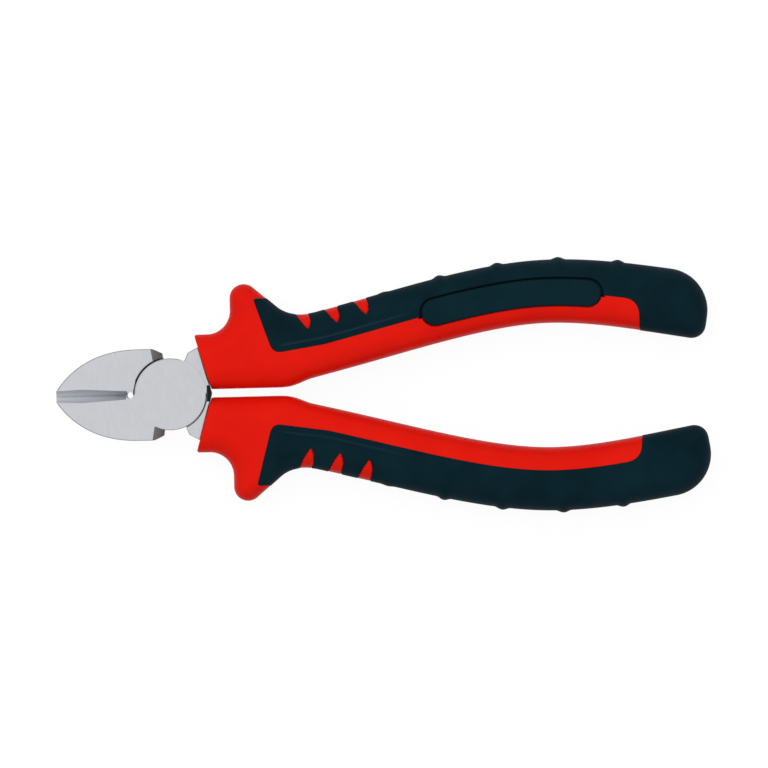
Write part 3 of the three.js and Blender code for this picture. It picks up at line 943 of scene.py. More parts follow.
@dataclass(frozen=True)
class PadSizes:
    """Sizes of the pad in millimetres.

    Attributes:
        start: distance of its front end along the spine.
        length: length along the spine.
        offset: offset of its inner side from the handle's inner edge.
        width: width.
        low: height of its underside.
        high: height of its face.
        groove: width of the groove round it.
        edge: radius of its rolled edge.
    """

    start: float = 24.9
    length: float = 44.3
    offset: float = 4.2
    width: float = 6.4
    low: float = 6.0
    high: float = 7.2
    groove: float = 0.35
    edge: float = 0.5

    @property
    def radius(self) -> float:
        """Radius of the rounded ends."""
        return self.width / 2

    @property
    def middle(self) -> float:
        """Offset of the middle line."""
        return self.offset + self.width / 2

    def away(self, distance: Array, offset: Array) -> Array:
        """Steps from the nearest point of the pad's middle line.

        Args:
            distance: distances along the spine.
            offset: offsets from the handle's inner edge.

        Returns:
            Array with a last axis of two: along the spine and across it.
        """
        half = self.length / 2 - self.radius
        reach = distance - self.start - self.length / 2
        return np.stack([reach - np.clip(reach, -half, half), offset - self.middle], axis=-1)


@dataclass(frozen=True)
class WindowSizes:
    """Sizes of the claw-shaped windows in millimetres.

    Attributes:
        count: number of windows.
        first: distance of the first behind the guard's top.
        pitch: distance from one to the next.
        width: width at the outer edge.
        lean: how far the tip lies behind the front corner.
        belly: how far the back side bellies out.
        pad_depth: depth from the outer edge on the pad face.
        plain_depth: depth on the plain face.
        gap: how far the core's face lies under the skin in a window.
        edge: radius of the rolled edge round a window.
        overrun: how far the front side goes on past the outer edge, as a share of its length.
        claw_steps: points on the back side.
    """

    count: int = 3
    first: float = 12.8
    pitch: float = 7.1
    width: float = 2.75
    lean: float = 2.8
    belly: float = 0.45
    pad_depth: float = 3.15
    plain_depth: float = 4.4
    gap: float = 0.0
    edge: float = 0.3
    overrun: float = 0.8
    claw_steps: int = 14

    def outlines(self, form: HandleForm, face: Face) -> list[Array]:
        """Plan outlines of the windows on one face.

        A straight front side runs from the outer edge to the tip, and a quadratic curve bellies back from the
        tip to the outer edge; both go on past the edge.

        Args:
            form: the handle's skin.
            face: which broad face.

        Returns:
            One array of points for each window.
        """
        depth = self.pad_depth if face is Face.PAD else self.plain_depth
        shapes = []
        for x in form.guard_x + self.first + self.pitch * np.arange(self.count):
            edge = np.interp([x, x + self.width], form.back_path[:, 0], form.back_path[:, 1])
            front, back = np.array([x, edge[0]]), np.array([x + self.width, edge[1]])
            tip = np.array([x + self.lean, edge.mean() - depth])
            belly = (back + tip) / 2 + np.array([2 * self.belly, 0.0])
            claw = quadratic(tip, belly, back, self.claw_steps)
            past = back + np.array([0.0, depth])
            shapes.append(np.vstack([front - self.overrun * (tip - front), front, claw, past]))
        return shapes

    @staticmethod
    def outside(plan: Array, outlines: list[Array]) -> Array:
        """Distance outside the nearest window."""
        return np.min([signed_distance(plan, outline) for outline in outlines], axis=0)


@dataclass(frozen=True)
class PartingSizes:
    """Sizes of the line where the soft overmould meets the hard core, in millimetres.

    The counts of rows are those of its stretches, from the top to the tail.

    Attributes:
        front: distance of the line's top behind the guard's top.
        drop: how far the top lies under the guard's top.
        pad_corner: distance of the foot behind the guard's top on the pad face.
        plain_corner: that distance on the plain face.
        lift: how far the foot lies over the strip.
        top_round: reach of the rounding at the top.
        foot_round: reach of the rounding at the foot.
        pad_strip: offset of the line from the inner edge on the pad face.
        plain_strip: that offset on the plain face.
        end: distance of the line's end from the tail.
        end_lean: how far the line leans back where it crosses to the inner edge.
        end_round: reach of the rounding there.
        turn_reach: where the rows of that rounding end, past the line's end.
        end_reach: where the crossing rows end, past the line's end.
        front_shares: shares of the outer edge ahead of the grip where the top, front and foot rows end.
        row_step: step of the rows along the grip.
        fine: length of the finer rows at both ends of the pad.
        fine_least: least step from the rows before to the finer ones.
        tail_ease: how far the tail's rows draw together towards its end, as a share.
        past: how far the soft region is drawn past the ends of the line.
        past_tail: how far it is drawn past the tail.
        past_side: how high it is drawn past the outer edge.
        round_steps: points on each rounding.
    """

    front: float = 1.95
    drop: float = 3.4
    pad_corner: float = 6.75
    plain_corner: float = 6.15
    lift: float = 1.1
    top_round: float = 1.2
    foot_round: float = 2.6
    pad_strip: float = 6.95
    plain_strip: float = 5.35
    end: float = 16.25
    end_lean: float = 1.3
    end_round: float = 3.4
    turn_reach: float = 0.5
    end_reach: float = 3.5
    front_shares: tuple[float, ...] = (0.0, 0.1, 0.6, 1.0)
    row_step: float = 0.3
    fine: float = 0.8
    fine_least: float = 0.1
    tail_ease: float = 0.65
    past: float = 4.0
    past_tail: float = 40.0
    past_side: float = 60.0
    round_steps: int = 12
    top_rows: int = 16
    front_rows: int = 60
    foot_rows: int = 46
    fine_rows: int = 7
    arc_rows: int = 22
    side_rows: int = 100
    heel_rows: int = 24
    turn_rows: int = 18
    end_rows: int = 16
    tail_rows: int = 44


@dataclass
class Parting:
    """Rows of the soft overmould: where each starts on the parting line and ends on the outer edge.

    Attributes:
        form: the handle's skin.
        sizes: sizes of the parting line.
        pad: the pad, which the line runs round on the pad face.
        start: starts of the rows on each face.
        reach: where the rows end on the outer edge, counted from the front of the spine.
        closed_row: first row that closes round in its columns, where the overmould wraps the whole tail.
        line: the parting line on each face.
    """

    form: HandleForm
    sizes: PartingSizes
    pad: PadSizes
    start: dict[Face, Array] = field(init=False)
    reach: Array = field(init=False)
    closed_row: int = field(init=False)
    line: dict[Face, Array] = field(init=False)

    def __post_init__(self) -> None:
        """Works out the rows from the guard to the tail; their outer ends are the same on both faces."""
        stretches = {face: self._stretches(face) for face in Face}
        self.start = {face: np.vstack([starts for starts, _ in stretches[face]]) for face in Face}
        self.reach = np.concatenate([reach for _, reach in stretches[Face.PLAIN]])
        self.closed_row = len(self.reach) - self.sizes.tail_rows
        self.line = {face: self.start[face][: self.closed_row + 1] for face in Face}

    def strip(self, face: Face) -> float:
        """Offset of the parting line from the inner edge."""
        return self.sizes.pad_strip if face is Face.PAD else self.sizes.plain_strip

    def _front(self, face: Face) -> tuple[Array, Array]:
        """The line from the guard's back down to the foot and on to the grip, with its corners rounded.

        Args:
            face: which broad face.

        Returns:
            Starts of the rows and the reaches of their ends on the outer edge.
        """
        s, form = self.sizes, self.form
        level = form.sizes.guard_top - s.drop
        back = form.back_front
        reach = walked(back)[-1] - np.interp(-level, -back[:, 1], walked(back))
        begin = form.outer_at(np.array(-reach))
        foot_x = form.guard_x + (s.pad_corner if face is Face.PAD else s.plain_corner)
        foot = np.array([foot_x, float(form.inner_height(np.array(foot_x))) + s.lift + self.strip(face)])
        top = np.array([form.guard_x + s.front, level])
        end = form.beside(np.array(0.0), np.array(self.strip(face)))
        path = rounded_path([begin, top, foot, end], [s.top_round, s.foot_round], s.round_steps)
        walk = walked(path)
        marks = [0.0, *(walk[np.argmin(np.linalg.norm(path - p, axis=1))] for p in (top, foot)), walk[-1]]
        counts = (s.top_rows, s.front_rows, s.foot_rows)
        return along(path, runs(marks, counts)), -reach * (1.0 - runs(s.front_shares, counts))

    def _grip(self, face: Face) -> list[tuple[Array, Array]]:
        """The line along the grip; on the pad face it runs round the groove of the pad.

        Args:
            face: which broad face.

        Returns:
            Pairs of starts and reaches: up to the pad, round it in three stretches, and on.
        """
        s, pad = self.sizes, self.pad
        radius = pad.radius + pad.groove
        nose, heel = pad.start - pad.groove, pad.start + pad.length + pad.groove
        rise = np.linspace(0.0, radius, s.arc_rows, endpoint=False)
        last = self.form.length - s.end - s.end_lean - s.end_round
        reaches = [
            np.arange(0.0, nose - s.fine - s.fine_least, s.row_step),
            runs((nose - s.fine, nose), (s.fine_rows,)),
            nose + rise,
            runs((nose + radius, heel - radius), (s.side_rows,)),
            heel - radius + rise,
            runs((heel, heel + s.fine, last), (s.fine_rows, s.heel_rows)),
        ]
        places = [(reach, np.full(len(reach), self.strip(face))) for reach in reaches]
        if face is Face.PAD:
            low = math.asin((s.pad_strip - pad.middle) / radius)
            turn = np.linspace(low, math.pi / 2, s.arc_rows, endpoint=False)
            ahead, up = radius * np.cos(turn), radius * np.sin(turn)
            places[2:5] = [
                (nose + radius - ahead, pad.middle + up),
                (reaches[3], np.full(s.side_rows, pad.middle + radius)),
                (heel - radius + ahead[::-1], pad.middle + up[::-1]),
            ]
        return [(self.form.beside(*place), reach) for place, reach in zip(places, reaches)]

    def _stretches(self, face: Face) -> list[tuple[Array, Array]]:
        """Every stretch of rows: front, grip, rounded turn, crossing to the inner edge, and tail.

        Args:
            face: which broad face.

        Returns:
            Pairs of starts and reaches.
        """
        s, form = self.sizes, self.form
        strip, end = self.strip(face), form.length - s.end
        turning = np.array([end - s.end_lean, strip])
        down = np.array([s.end_lean, -strip])
        leave = turning + s.end_round * down / np.linalg.norm(down)
        turn = quadratic(turning - np.array([s.end_round, 0.0]), turning, leave, s.turn_rows + 1)[:-1]
        share = np.linspace(0.0, 1.0, s.end_rows, endpoint=False)[:, None]
        fall = leave + share * (np.array([end, 0.0]) - leave)
        bend = np.linspace(0.0, 1.0, s.tail_rows)
        ease = (1 - s.tail_ease) * bend + s.tail_ease * np.sin(bend * math.pi / 2)
        marks = (turning[0] - s.end_round, end + s.turn_reach, end + s.end_reach)
        return [
            self._front(face),
            *self._grip(face),
            (form.beside(turn[:, 0], turn[:, 1]), runs(marks[:2], (s.turn_rows,))),
            (form.beside(fall[:, 0], fall[:, 1]), runs(marks[1:], (s.end_rows,))),
            (form.tail_inner(end + s.end * ease), end + s.end_reach + (s.end - s.end_reach) * ease),
        ]

    def region(self, face: Face) -> Array:
        """Plan outline of everything that is soft on one face, drawn well past the handle's edges.

        Args:
            face: which broad face.

        Returns:
            Array of shape (n, 2).
        """
        s, line = self.sizes, self.line[face]
        far, near = self.form.sizes.tail_x + s.past_tail, line[0, 0] + s.past
        low = line[-1] + s.past * (line[-1] - line[-2]) / np.linalg.norm(line[-1] - line[-2])
        corners = [low, [far, low[1]], [far, s.past_side], [near, s.past_side], [near, line[0, 1]]]
        return np.vstack([line, *corners])


@dataclass
class HandlePiece:
    """A moulded piece of a handle: points and quads that are worked out once and set into both halves.

    Attributes:
        form: the handle's skin.
        finish: the material.
        points: array of shape (n, 3) in the half's frame.
        faces: array of shape (m, 4).
        crease: painted highlight and painted shade at the points, or none.
    """

    PIECE = NODE = SLOT = ""
    SHARP = 50.0

    form: HandleForm
    finish: bpy.types.Material
    points: Array = field(init=False)
    faces: Array = field(init=False)
    crease: Array | None = field(init=False, default=None)

    def build(self, half: Half) -> bpy.types.Object:
        """The piece of one half, dressed and riding on its body.

        Args:
            half: which half.

        Returns:
            The object.
        """
        points = half.place(self.points)
        obj = smooth_object(half.named(self.PIECE), points, self.faces, self.SHARP, self.crease)
        dress(obj, self.finish, half.body, half.named(self.NODE))
        return obj


@dataclass
class GripCore(HandlePiece):
    """The hard core: collar, guard and inner strip, sunk where the soft overmould covers it.

    Sizes are in millimetres.

    Attributes:
        parting: where the overmould lies.
        pad: the pad let into the crown.
        windows: the windows that the core shows through.
        recess: how far the core is sunk under the overmould.
        recess_slope: distances inside the parting line between which it sinks.
        sill: distances outside a window between which it sinks again.
        pocket_depth: depth of the pad's pocket.
        pocket_snap: points this near the pocket's outline move onto it.
        pocket_inside: points farther in than this lie on the pocket's floor.
        lip: points this near the pocket are sunk too where the overmould covers them.
        lip_overlap: how far outside the parting line that still holds.
        front_rows: rows round the collar and the guard.
        close_rows: closer rows at the front edge.
        close_share: their length as a share of the front edge's radius.
        grip_step: step of the rows along the grip.
        tail_rows: rows round the tail's corner.
        edge_columns: columns on each rounded side.
        edge_limit: greatest share of a row that a rounded side takes.
        middle_columns: columns on the crown.
        cavity_rows: rows along the tang's cavity.
        cavity_power: power of the cavity's rounded rectangle.
    """

    PIECE, NODE, SLOT = "core", "grip_core", "hard_plastic"

    parting: Parting
    pad: PadSizes
    windows: WindowSizes
    recess: float = 1.5
    recess_slope: Span = (0.6, 1.1)
    sill: Span = (0.1, 0.45)
    pocket_depth: float = 1.3
    pocket_snap: float = 0.24
    pocket_inside: float = 0.2
    lip: float = 0.6
    lip_overlap: float = 0.06
    front_rows: int = 130
    close_rows: int = 6
    close_share: float = 0.6
    grip_step: float = 0.33
    tail_rows: int = 20
    edge_columns: int = 30
    edge_limit: float = 0.42
    middle_columns: int = 24
    cavity_rows: int = 16
    cavity_power: float = 5.0

    def __post_init__(self) -> None:
        """Works out the shape: the skin, sunk along its normals, and the cavity turned in at its front."""
        plan, distance, offset = self._plan()
        pad_plan, pocket, lip = self._pocket(plan, distance, offset)
        plans = {Face.PAD: pad_plan, Face.PLAIN: plan}
        grid = self.form.ring(plans)
        normals = grid_normals(grid, self.form.core(plan[:, 0], plan[:, -1], distance[:, 0]))
        normals[-1] = self.form.tail_normal()
        skin = grid - normals * self._depth(plans, pocket, lip)[..., None]
        rows = np.concatenate([self._cavity(skin[0]), skin])
        self.points = rows.reshape(-1, 3)
        quads = grid_faces(*rows.shape[:2]).reshape(-1, 4)
        self.faces = np.vstack([quads, zip_faces(len(rows) - 1, rows.shape[1])])

    def _plan(self) -> tuple[Array, Array, Array]:
        """Plan grid between the edges: rows fan round the guard and then cross the spine squarely.

        In the fan the inner ends step by two parts of the outer ends' progress along X and one of their walk.

        Returns:
            Points (rows, columns, 2), distances along the spine, -1 ahead of it, and offsets from the inner
            edge.
        """
        form, s = self.form, self.form.sizes
        front = np.vstack([form.flank_path, form.back_front[1:]])
        close = 1 - np.cos(np.linspace(0.0, math.pi / 2, self.close_rows))
        close *= self.close_share * s.collar_edge
        even = np.linspace(close[-1], walked(front)[-1], self.front_rows)
        outer = along(front, np.concatenate([close, even[1:]]))
        by_reach = (outer[:, 0] - outer[0, 0]) / (outer[-1, 0] - outer[0, 0])
        by_walk = walked(outer) / walked(outer)[-1]
        begin = form.front_line(np.array(s.handle_gap / 2), -s.seat_gap)[0]
        x = begin + (form.grip_inner[0] - begin) * (2 * by_reach + by_walk) / 3
        inner = np.stack([x, form.inner_height(x)], axis=-1)
        straight = np.arange(self.grip_step, form.length - s.tail_outer_radius, self.grip_step)
        run = np.concatenate([straight, form.corner(s.tail_outer_radius, self.tail_rows)])
        inner = np.vstack([inner, form.tail_inner(run)])
        outer = np.vstack([outer, form.tail_outer(run)])
        distance = np.concatenate([np.full(len(x), -1.0), run])
        span = np.linalg.norm(outer - inner, axis=1)[:, None]
        edge = np.minimum(s.edge_round, self.edge_limit * span) / span
        rise = 1 - np.cos(np.linspace(0.0, math.pi / 2, self.edge_columns))
        middle = np.linspace(0.0, 1.0, self.middle_columns)[1:-1]
        across = np.concatenate([edge * rise, edge + (1 - 2 * edge) * middle, 1 - edge * rise[::-1]], axis=1)
        plan = inner[:, None] + across[..., None] * (outer - inner)[:, None]
        return plan, np.broadcast_to(distance[:, None], across.shape), across * span

    def _pocket(self, plan: Array, distance: Array, offset: Array) -> tuple[Array, Array, Array]:
        """The pad's pocket: grid points near its outline move onto it, and those inside are sunk.

        Args:
            plan: plan grid.
            distance: distances along the spine.
            offset: offsets from the inner edge.

        Returns:
            The moved plan grid, the depth of the pocket and whether a point lies in it or next to it.
        """
        pad = self.pad
        away = pad.away(distance, offset)
        outside = np.hypot(away[..., 0], away[..., 1]) - pad.radius - pad.groove
        away /= np.maximum(np.linalg.norm(away, axis=-1, keepdims=True), TINY)
        grip = distance > 0.0
        near = (np.abs(outside) < self.pocket_snap) & grip
        moved = np.where(near, outside, 0.0)[..., None] * away
        snapped = self.form.beside(distance - moved[..., 0], offset - moved[..., 1])
        depth = np.where((outside < -self.pocket_inside) & ~near & grip, self.pocket_depth, 0.0)
        return np.where(near[..., None], snapped, plan), depth, (outside < self.lip) & grip

    def _depth(self, plans: dict[Face, Array], pocket: Array, lip: Array) -> Array:
        """How far each skin point is sunk: under the overmould, in the pocket and at the front edge.

        Args:
            plans: plan grid of each face.
            pocket: depth of the pad's pocket.
            lip: whether a point lies in the pocket or next to it.

        Returns:
            Depths of the skin grid's shape.
        """
        s, depths = self.form.sizes, {}
        for face, plan in plans.items():
            soft = -signed_distance(plan, self.parting.region(face))
            under = self.recess * smoothstep(soft, *self.recess_slope)
            window = self.windows.outside(plan, self.windows.outlines(self.form, face))
            shown = 1.0 - smoothstep(window, *self.sill)
            sunk = under + (np.minimum(under, self.windows.gap) - under) * shown
            if face is Face.PAD:
                covered = lip & (soft > -self.lip_overlap)
                sunk = np.maximum(sunk, np.maximum(pocket, self.pocket_depth * covered))
            line = self.form.front_line(plan[..., 1], -s.seat_gap)
            behind = (plan[..., 0] - line[..., 0]) * math.cos(s.front_slant)
            depths[face] = sunk + round_loss(s.collar_edge, np.maximum(behind, 0.0))
        return both(depths)

    def _cavity(self, mouth: Array) -> Array:
        """Rings of the tang's cavity, from its blind end to the mouth in the front face.

        Each ring is a rounded rectangle about the spine, with its points at the angles of the mouth's rim.

        Args:
            mouth: the first ring of the skin.

        Returns:
            Rings of the same count of points, the blind end first.
        """
        form, s, power = self.form, self.form.sizes, self.cavity_power
        line = np.array([-math.sin(s.front_slant), math.cos(s.front_slant)])
        middle = form.front_line(np.array((s.handle_gap / 2 + s.collar_top) / 2), -s.seat_gap)
        angle = np.arctan2(mouth[:, 2], (mouth[:, :2] - middle) @ line)
        share = np.linspace(1.0, 0.0, self.cavity_rows)
        centre, across = form.spine(share * s.tang_length)
        centre, across = np.vstack([centre, middle]), np.vstack([across, line])
        share = np.append(share, 0.0)
        wide = (s.tang_width + (s.tang_end_width - s.tang_width) * share)[:, None] / 2
        tall = s.tang_thickness / 2
        side, up = np.cos(angle), np.sin(angle)
        reach = ((np.abs(side) / wide) ** power + (np.abs(up) / tall) ** power) ** (-1 / power)
        flat = centre[:, None] + across[:, None] * (reach * side)[..., None]
        rings = np.concatenate([flat, (reach * up)[..., None]], axis=-1)
        blind = np.broadcast_to(np.append(centre[0], 0.0), rings[:1].shape)
        return np.concatenate([blind, rings])


@dataclass
class SoftGrip(HandlePiece):
    """The soft overmould: a shell with a rolled edge, ribs, a finger scoop and windows.

    Sizes are in millimetres.

    Attributes:
        parting: rows from the parting line to the outer edge.
        windows: the windows cut through it.
        wall: thickness of the shell.
        proud: how far it stands over the core.
        roll: radius of its rolled edge.
        rib_first: distance of the first rib along the outer edge.
        rib_pitch: distance from one rib to the next.
        rib_width: width of a rib.
        rib_heights: height of each rib.
        rib_power: power that narrows a rib's crest.
        rib_fade: distances from the outer edge between which the ribs run out.
        scoop: depth of the finger scoop.
        scoop_start: x where it starts to deepen and where it is deep.
        scoop_end: x where it starts to run out and where it is gone.
        scoop_wall: width of the slope at its border.
        scoop_side: distance from the outer edge over which it deepens.
        border: distance of its border from the parting line.
        border_width: half width of the painted highlight on the border.
        seam_width: half width of the painted shade at the parting line.
        edge_shares: shares of the rolled edge where its columns lie.
        edge_reach: length of the rolled edge's columns.
        edge_limit: greatest share of a row that they take.
        side_limit: greatest share of a row that the rounded side takes.
        side_columns: columns on the rounded side.
        middle_columns: columns between.
        snap_rounds: rounds in which the rim of a window moves onto its outline.
        snap_step: step by which the slope of the distance is found.
        snap_reach: longest move in one round.
        slide_least: least share of the slope along the outer edge at which a point slides on it.
    """

    PIECE, NODE, SLOT = "overmould", "soft_grip", "soft_overmould"
    SHARP = 60.0

    parting: Parting
    windows: WindowSizes
    wall: float = 1.2
    proud: float = 0.08
    roll: float = 0.5
    rib_first: float = 17.2
    rib_pitch: float = 13.87
    rib_width: float = 3.4
    rib_heights: tuple[float, ...] = (0.2, 0.56, 0.565, 0.565, 0.56)
    rib_power: float = 1.4
    rib_fade: Span = (0.6, 4.6)
    scoop: float = 0.6
    scoop_start: Span = (25.0, 30.0)
    scoop_end: Span = (50.0, 64.0)
    scoop_wall: float = 0.6
    scoop_side: float = 3.0
    border: float = 1.95
    border_width: float = 0.24
    seam_width: float = 0.3
    edge_shares: tuple[float, ...] = (0.0, 0.06, 0.14, 0.26, 0.42, 0.66, 1.0)
    edge_reach: float = 1.4
    edge_limit: float = 0.15
    side_limit: float = 0.45
    side_columns: int = 19
    middle_columns: int = 12
    snap_rounds: int = 3
    snap_step: float = 0.001
    snap_reach: float = 0.3
    slide_least: float = 0.3

    def __post_init__(self) -> None:
        """Works out the shell: a skin cut at the windows, its inner side and the rims between them."""
        form, parting = self.form, self.parting
        outlines = {face: self.windows.outlines(form, face) for face in Face}
        outer = form.outer_at(parting.reach)
        plans = {face: self._plan(parting.start[face], outer) for face in Face}
        columns = plans[Face.PAD].shape[1]
        quads = grid_faces(len(outer), 2 * columns)
        apart = both({face: self.windows.outside(plans[face], outlines[face]) for face in Face})
        keep = apart.ravel()[quads].mean(axis=-1) > 0.0
        rim = self._rim(quads, keep, apart.size).reshape(apart.shape)
        rims = {Face.PAD: rim[:, :columns], Face.PLAIN: rim[:, columns:][:, ::-1]}
        plans = {face: self._onto(plans[face], rims[face], outlines[face]) for face in Face}
        keep[:parting.closed_row, -1] = False
        grid = form.ring(plans)
        core = form.core(plans[Face.PAD][:, 0], outer, parting.reach)
        normals = grid_normals(grid, core, parting.closed_row)
        normals[-1] = form.tail_normal()
        parted = {face: path_distance(plans[face], parting.line[face]) for face in Face}
        lift = both({face: self._lift(plans[face], parted[face], outlines[face]) for face in Face})
        crease = both({face: self._painted_light(plans[face], parted[face]) for face in Face})
        skin = (grid + normals * lift[..., None]).reshape(-1, 3)
        inside = (grid - normals * self.wall).reshape(-1, 3)
        self.points = np.vstack([skin, inside])
        self.crease = np.concatenate([crease.ravel(), np.zeros(crease.size)])
        kept = np.vstack([quads[keep], zip_faces(len(outer) - 1, 2 * columns)])
        self.faces = close_shell(kept, len(skin))

    def _plan(self, start: Array, outer: Array) -> Array:
        """Plan grid from the parting line to the outer edge, closer at both sides.

        Args:
            start: starts of the rows on the parting line.
            outer: ends of the rows on the outer edge.

        Returns:
            Array of shape (rows, columns, 2).
        """
        span = np.maximum(np.linalg.norm(outer - start, axis=1)[:, None], TINY)
        close = np.array(self.edge_shares) * np.minimum(self.edge_reach, self.edge_limit * span) / span
        edge = np.minimum(self.form.sizes.edge_round, self.side_limit * span) / span
        rise = 1 - np.cos(np.linspace(0.0, math.pi / 2, self.side_columns))
        first = close[:, -1:]
        middle = first + (1 - edge - first) * np.linspace(0.0, 1.0, self.middle_columns)[1:-1]
        across = np.concatenate([close, middle, 1 - edge * rise[::-1]], axis=1)
        return start[:, None] + across[..., None] * (outer - start)[:, None]

    @staticmethod
    def _rim(quads: Array, keep: Array, count: int) -> Array:
        """Grid points that belong both to a kept quad and to one that is cut out.

        Args:
            quads: quads of the whole grid.
            keep: which quads are kept.
            count: number of grid points.

        Returns:
            Array of shape (count,).
        """
        kept, cut = np.zeros(count, dtype=bool), np.zeros(count, dtype=bool)
        kept[quads[keep].ravel()] = True
        cut[quads[~keep].ravel()] = True
        return kept & cut

    def _onto(self, plan: Array, rim: Array, outlines: list[Array]) -> Array:
        """Moves the rim's points onto the window outlines, down the slope of their distance.

        Args:
            plan: plan grid, whose last column is the outer edge.
            rim: which points lie on the rim.
            outlines: the windows on this face.

        Returns:
            The moved grid; points of the outer edge only slide along it.
        """
        edge = np.zeros(plan.shape[:2], dtype=bool)
        edge[:, -1] = True
        slide = np.gradient(plan[:, -1], axis=0)
        slide /= np.maximum(np.linalg.norm(slide, axis=-1, keepdims=True), TINY)
        slide = np.broadcast_to(slide[:, None], plan.shape)[rim]
        edge, points, step = edge[rim][:, None], plan[rim], self.snap_step
        for _ in range(self.snap_rounds):
            gap = self.windows.outside(points, outlines)
            slope = np.stack([self.windows.outside(points + step * axis, outlines) - gap
                              for axis in np.eye(2)], axis=-1) / step
            share = (slope * slide).sum(axis=-1, keepdims=True)
            along_edge = slide / np.where(np.abs(share) < self.slide_least, np.inf, share)
            move = -gap[:, None] * np.where(edge, along_edge, slope)
            points = points + np.clip(move, -self.snap_reach, self.snap_reach)
        moved = plan.copy()
        moved[rim] = points
        return moved

    def _scooped(self, plan: Array) -> Array:
        """Share of the finger scoop along the handle: from behind the guard to the front of the pad."""
        x = plan[..., 0]
        return smoothstep(x, *self.scoop_start) * (1.0 - smoothstep(x, *self.scoop_end))

    def _painted_light(self, plan: Array, parted: Array) -> Array:
        """Painted highlight on the scoop's border, a bell about its middle, less painted shade at the parting
        line.
        """
        lit = np.exp(-(((parted - self.border) / self.border_width) ** 2)) * self._scooped(plan)
        return lit - np.exp(-((parted / self.seam_width) ** 2))

    def _lift(self, plan: Array, parted: Array, outlines: list[Array]) -> Array:
        """How far each point stands over the skin: proud, ribs, less the rolled edges and the finger scoop.

        A rib is a half wave of the cosine along the outer edge, drawn narrower by a power.

        Args:
            plan: plan grid.
            parted: distances from the parting line.
            outlines: the windows on this face.

        Returns:
            Array of the grid's shape.
        """
        reach = self.parting.reach[:, None]
        window = np.maximum(self.windows.outside(plan, outlines), 0.0)
        side = path_distance(plan, self.form.back_path)
        ribs = np.zeros_like(parted)
        for k, high in enumerate(self.rib_heights):
            away = np.clip((reach - self.rib_first - k * self.rib_pitch) / (self.rib_width / 2), -1.0, 1.0)
            ribs += high * np.cos(away * math.pi / 2) ** self.rib_power
        ribs *= 1.0 - smoothstep(side, *self.rib_fade)
        hollow = smoothstep(parted, self.border, self.border + self.scoop_wall) * self._scooped(plan)
        lift = self.proud + ribs - self.scoop * hollow * smoothstep(side, 0.0, self.scoop_side)
        return lift - round_loss(self.roll, parted) - round_loss(self.windows.edge, window)


@dataclass
class Pad(HandlePiece):
    """The pad let into the crown of the grip: a flat band with round ends, a rolled edge and a foot.

    Attributes:
        sizes: sizes of the pad.
        foot: thickness of the dark foot that fills the bottom of the groove, in millimetres; beside the
            overmould it stands for the overmould under the pad, beside the red core it is painted shade in
            place of the groove's shadow.
        foot_reach: how far the foot reaches into the wall of the seat, in millimetres.
        face_steps: steps from the middle line to the rolled edge.
        roll_steps: points on the rolled edge.
        side_steps: points on each straight side.
        end_steps: points on each round end.
    """

    PIECE, NODE, SLOT = "blank_pad", "pad", "blank_pad"

    sizes: PadSizes
    foot: float = 0.25
    foot_reach: float = 0.05
    face_steps: int = 4
    roll_steps: int = 8
    side_steps: int = 90
    end_steps: int = 40

    def __post_init__(self) -> None:
        """Works out the shape: a profile carried round the outline.

        Each point is a place on the pad's middle line moved outwards by the profile's reach. The first and
        the last row lie on the middle line itself, where both sides weld together.
        """
        s = self.sizes
        # The foot is in the pad's dark material: beside the red core it is painted shade, a dark sheet in
        # place of the groove's shadow.
        wide, step = s.radius + s.groove + self.foot_reach, s.low + self.foot
        roll = np.linspace(0.0, math.pi / 2, self.roll_steps)
        reach = np.concatenate([
            np.linspace(0.0, s.radius - s.edge, self.face_steps, endpoint=False),
            s.radius - s.edge * (1 - np.sin(roll)),
            [s.radius, wide, wide, 0.0],
        ])[:, None]
        height = np.concatenate([
            np.full(self.face_steps, s.high),
            s.high - s.edge * (1 - np.cos(roll)),
            [step, step, s.low, s.low],
        ])[:, None]
        first, last = s.start + s.radius, s.start + s.length - s.radius
        side = np.linspace(first, last, self.side_steps)
        swing = np.linspace(math.pi / 2, -math.pi / 2, self.end_steps)[1:-1]
        up, bend = np.full(self.side_steps, math.pi / 2), np.ones(len(swing))
        middle = np.concatenate([side, last * bend, side[::-1], first * bend])
        angle = np.concatenate([up, swing, -up, swing - math.pi])
        plan = self.form.beside(middle + reach * np.cos(angle), s.middle + reach * np.sin(angle))
        tall = np.broadcast_to(height, plan.shape[:2])
        self.points = np.concatenate([plan, tall[..., None]], axis=-1).reshape(-1, 3)
        self.faces = grid_faces(*plan.shape[:2]).reshape(-1, 4)


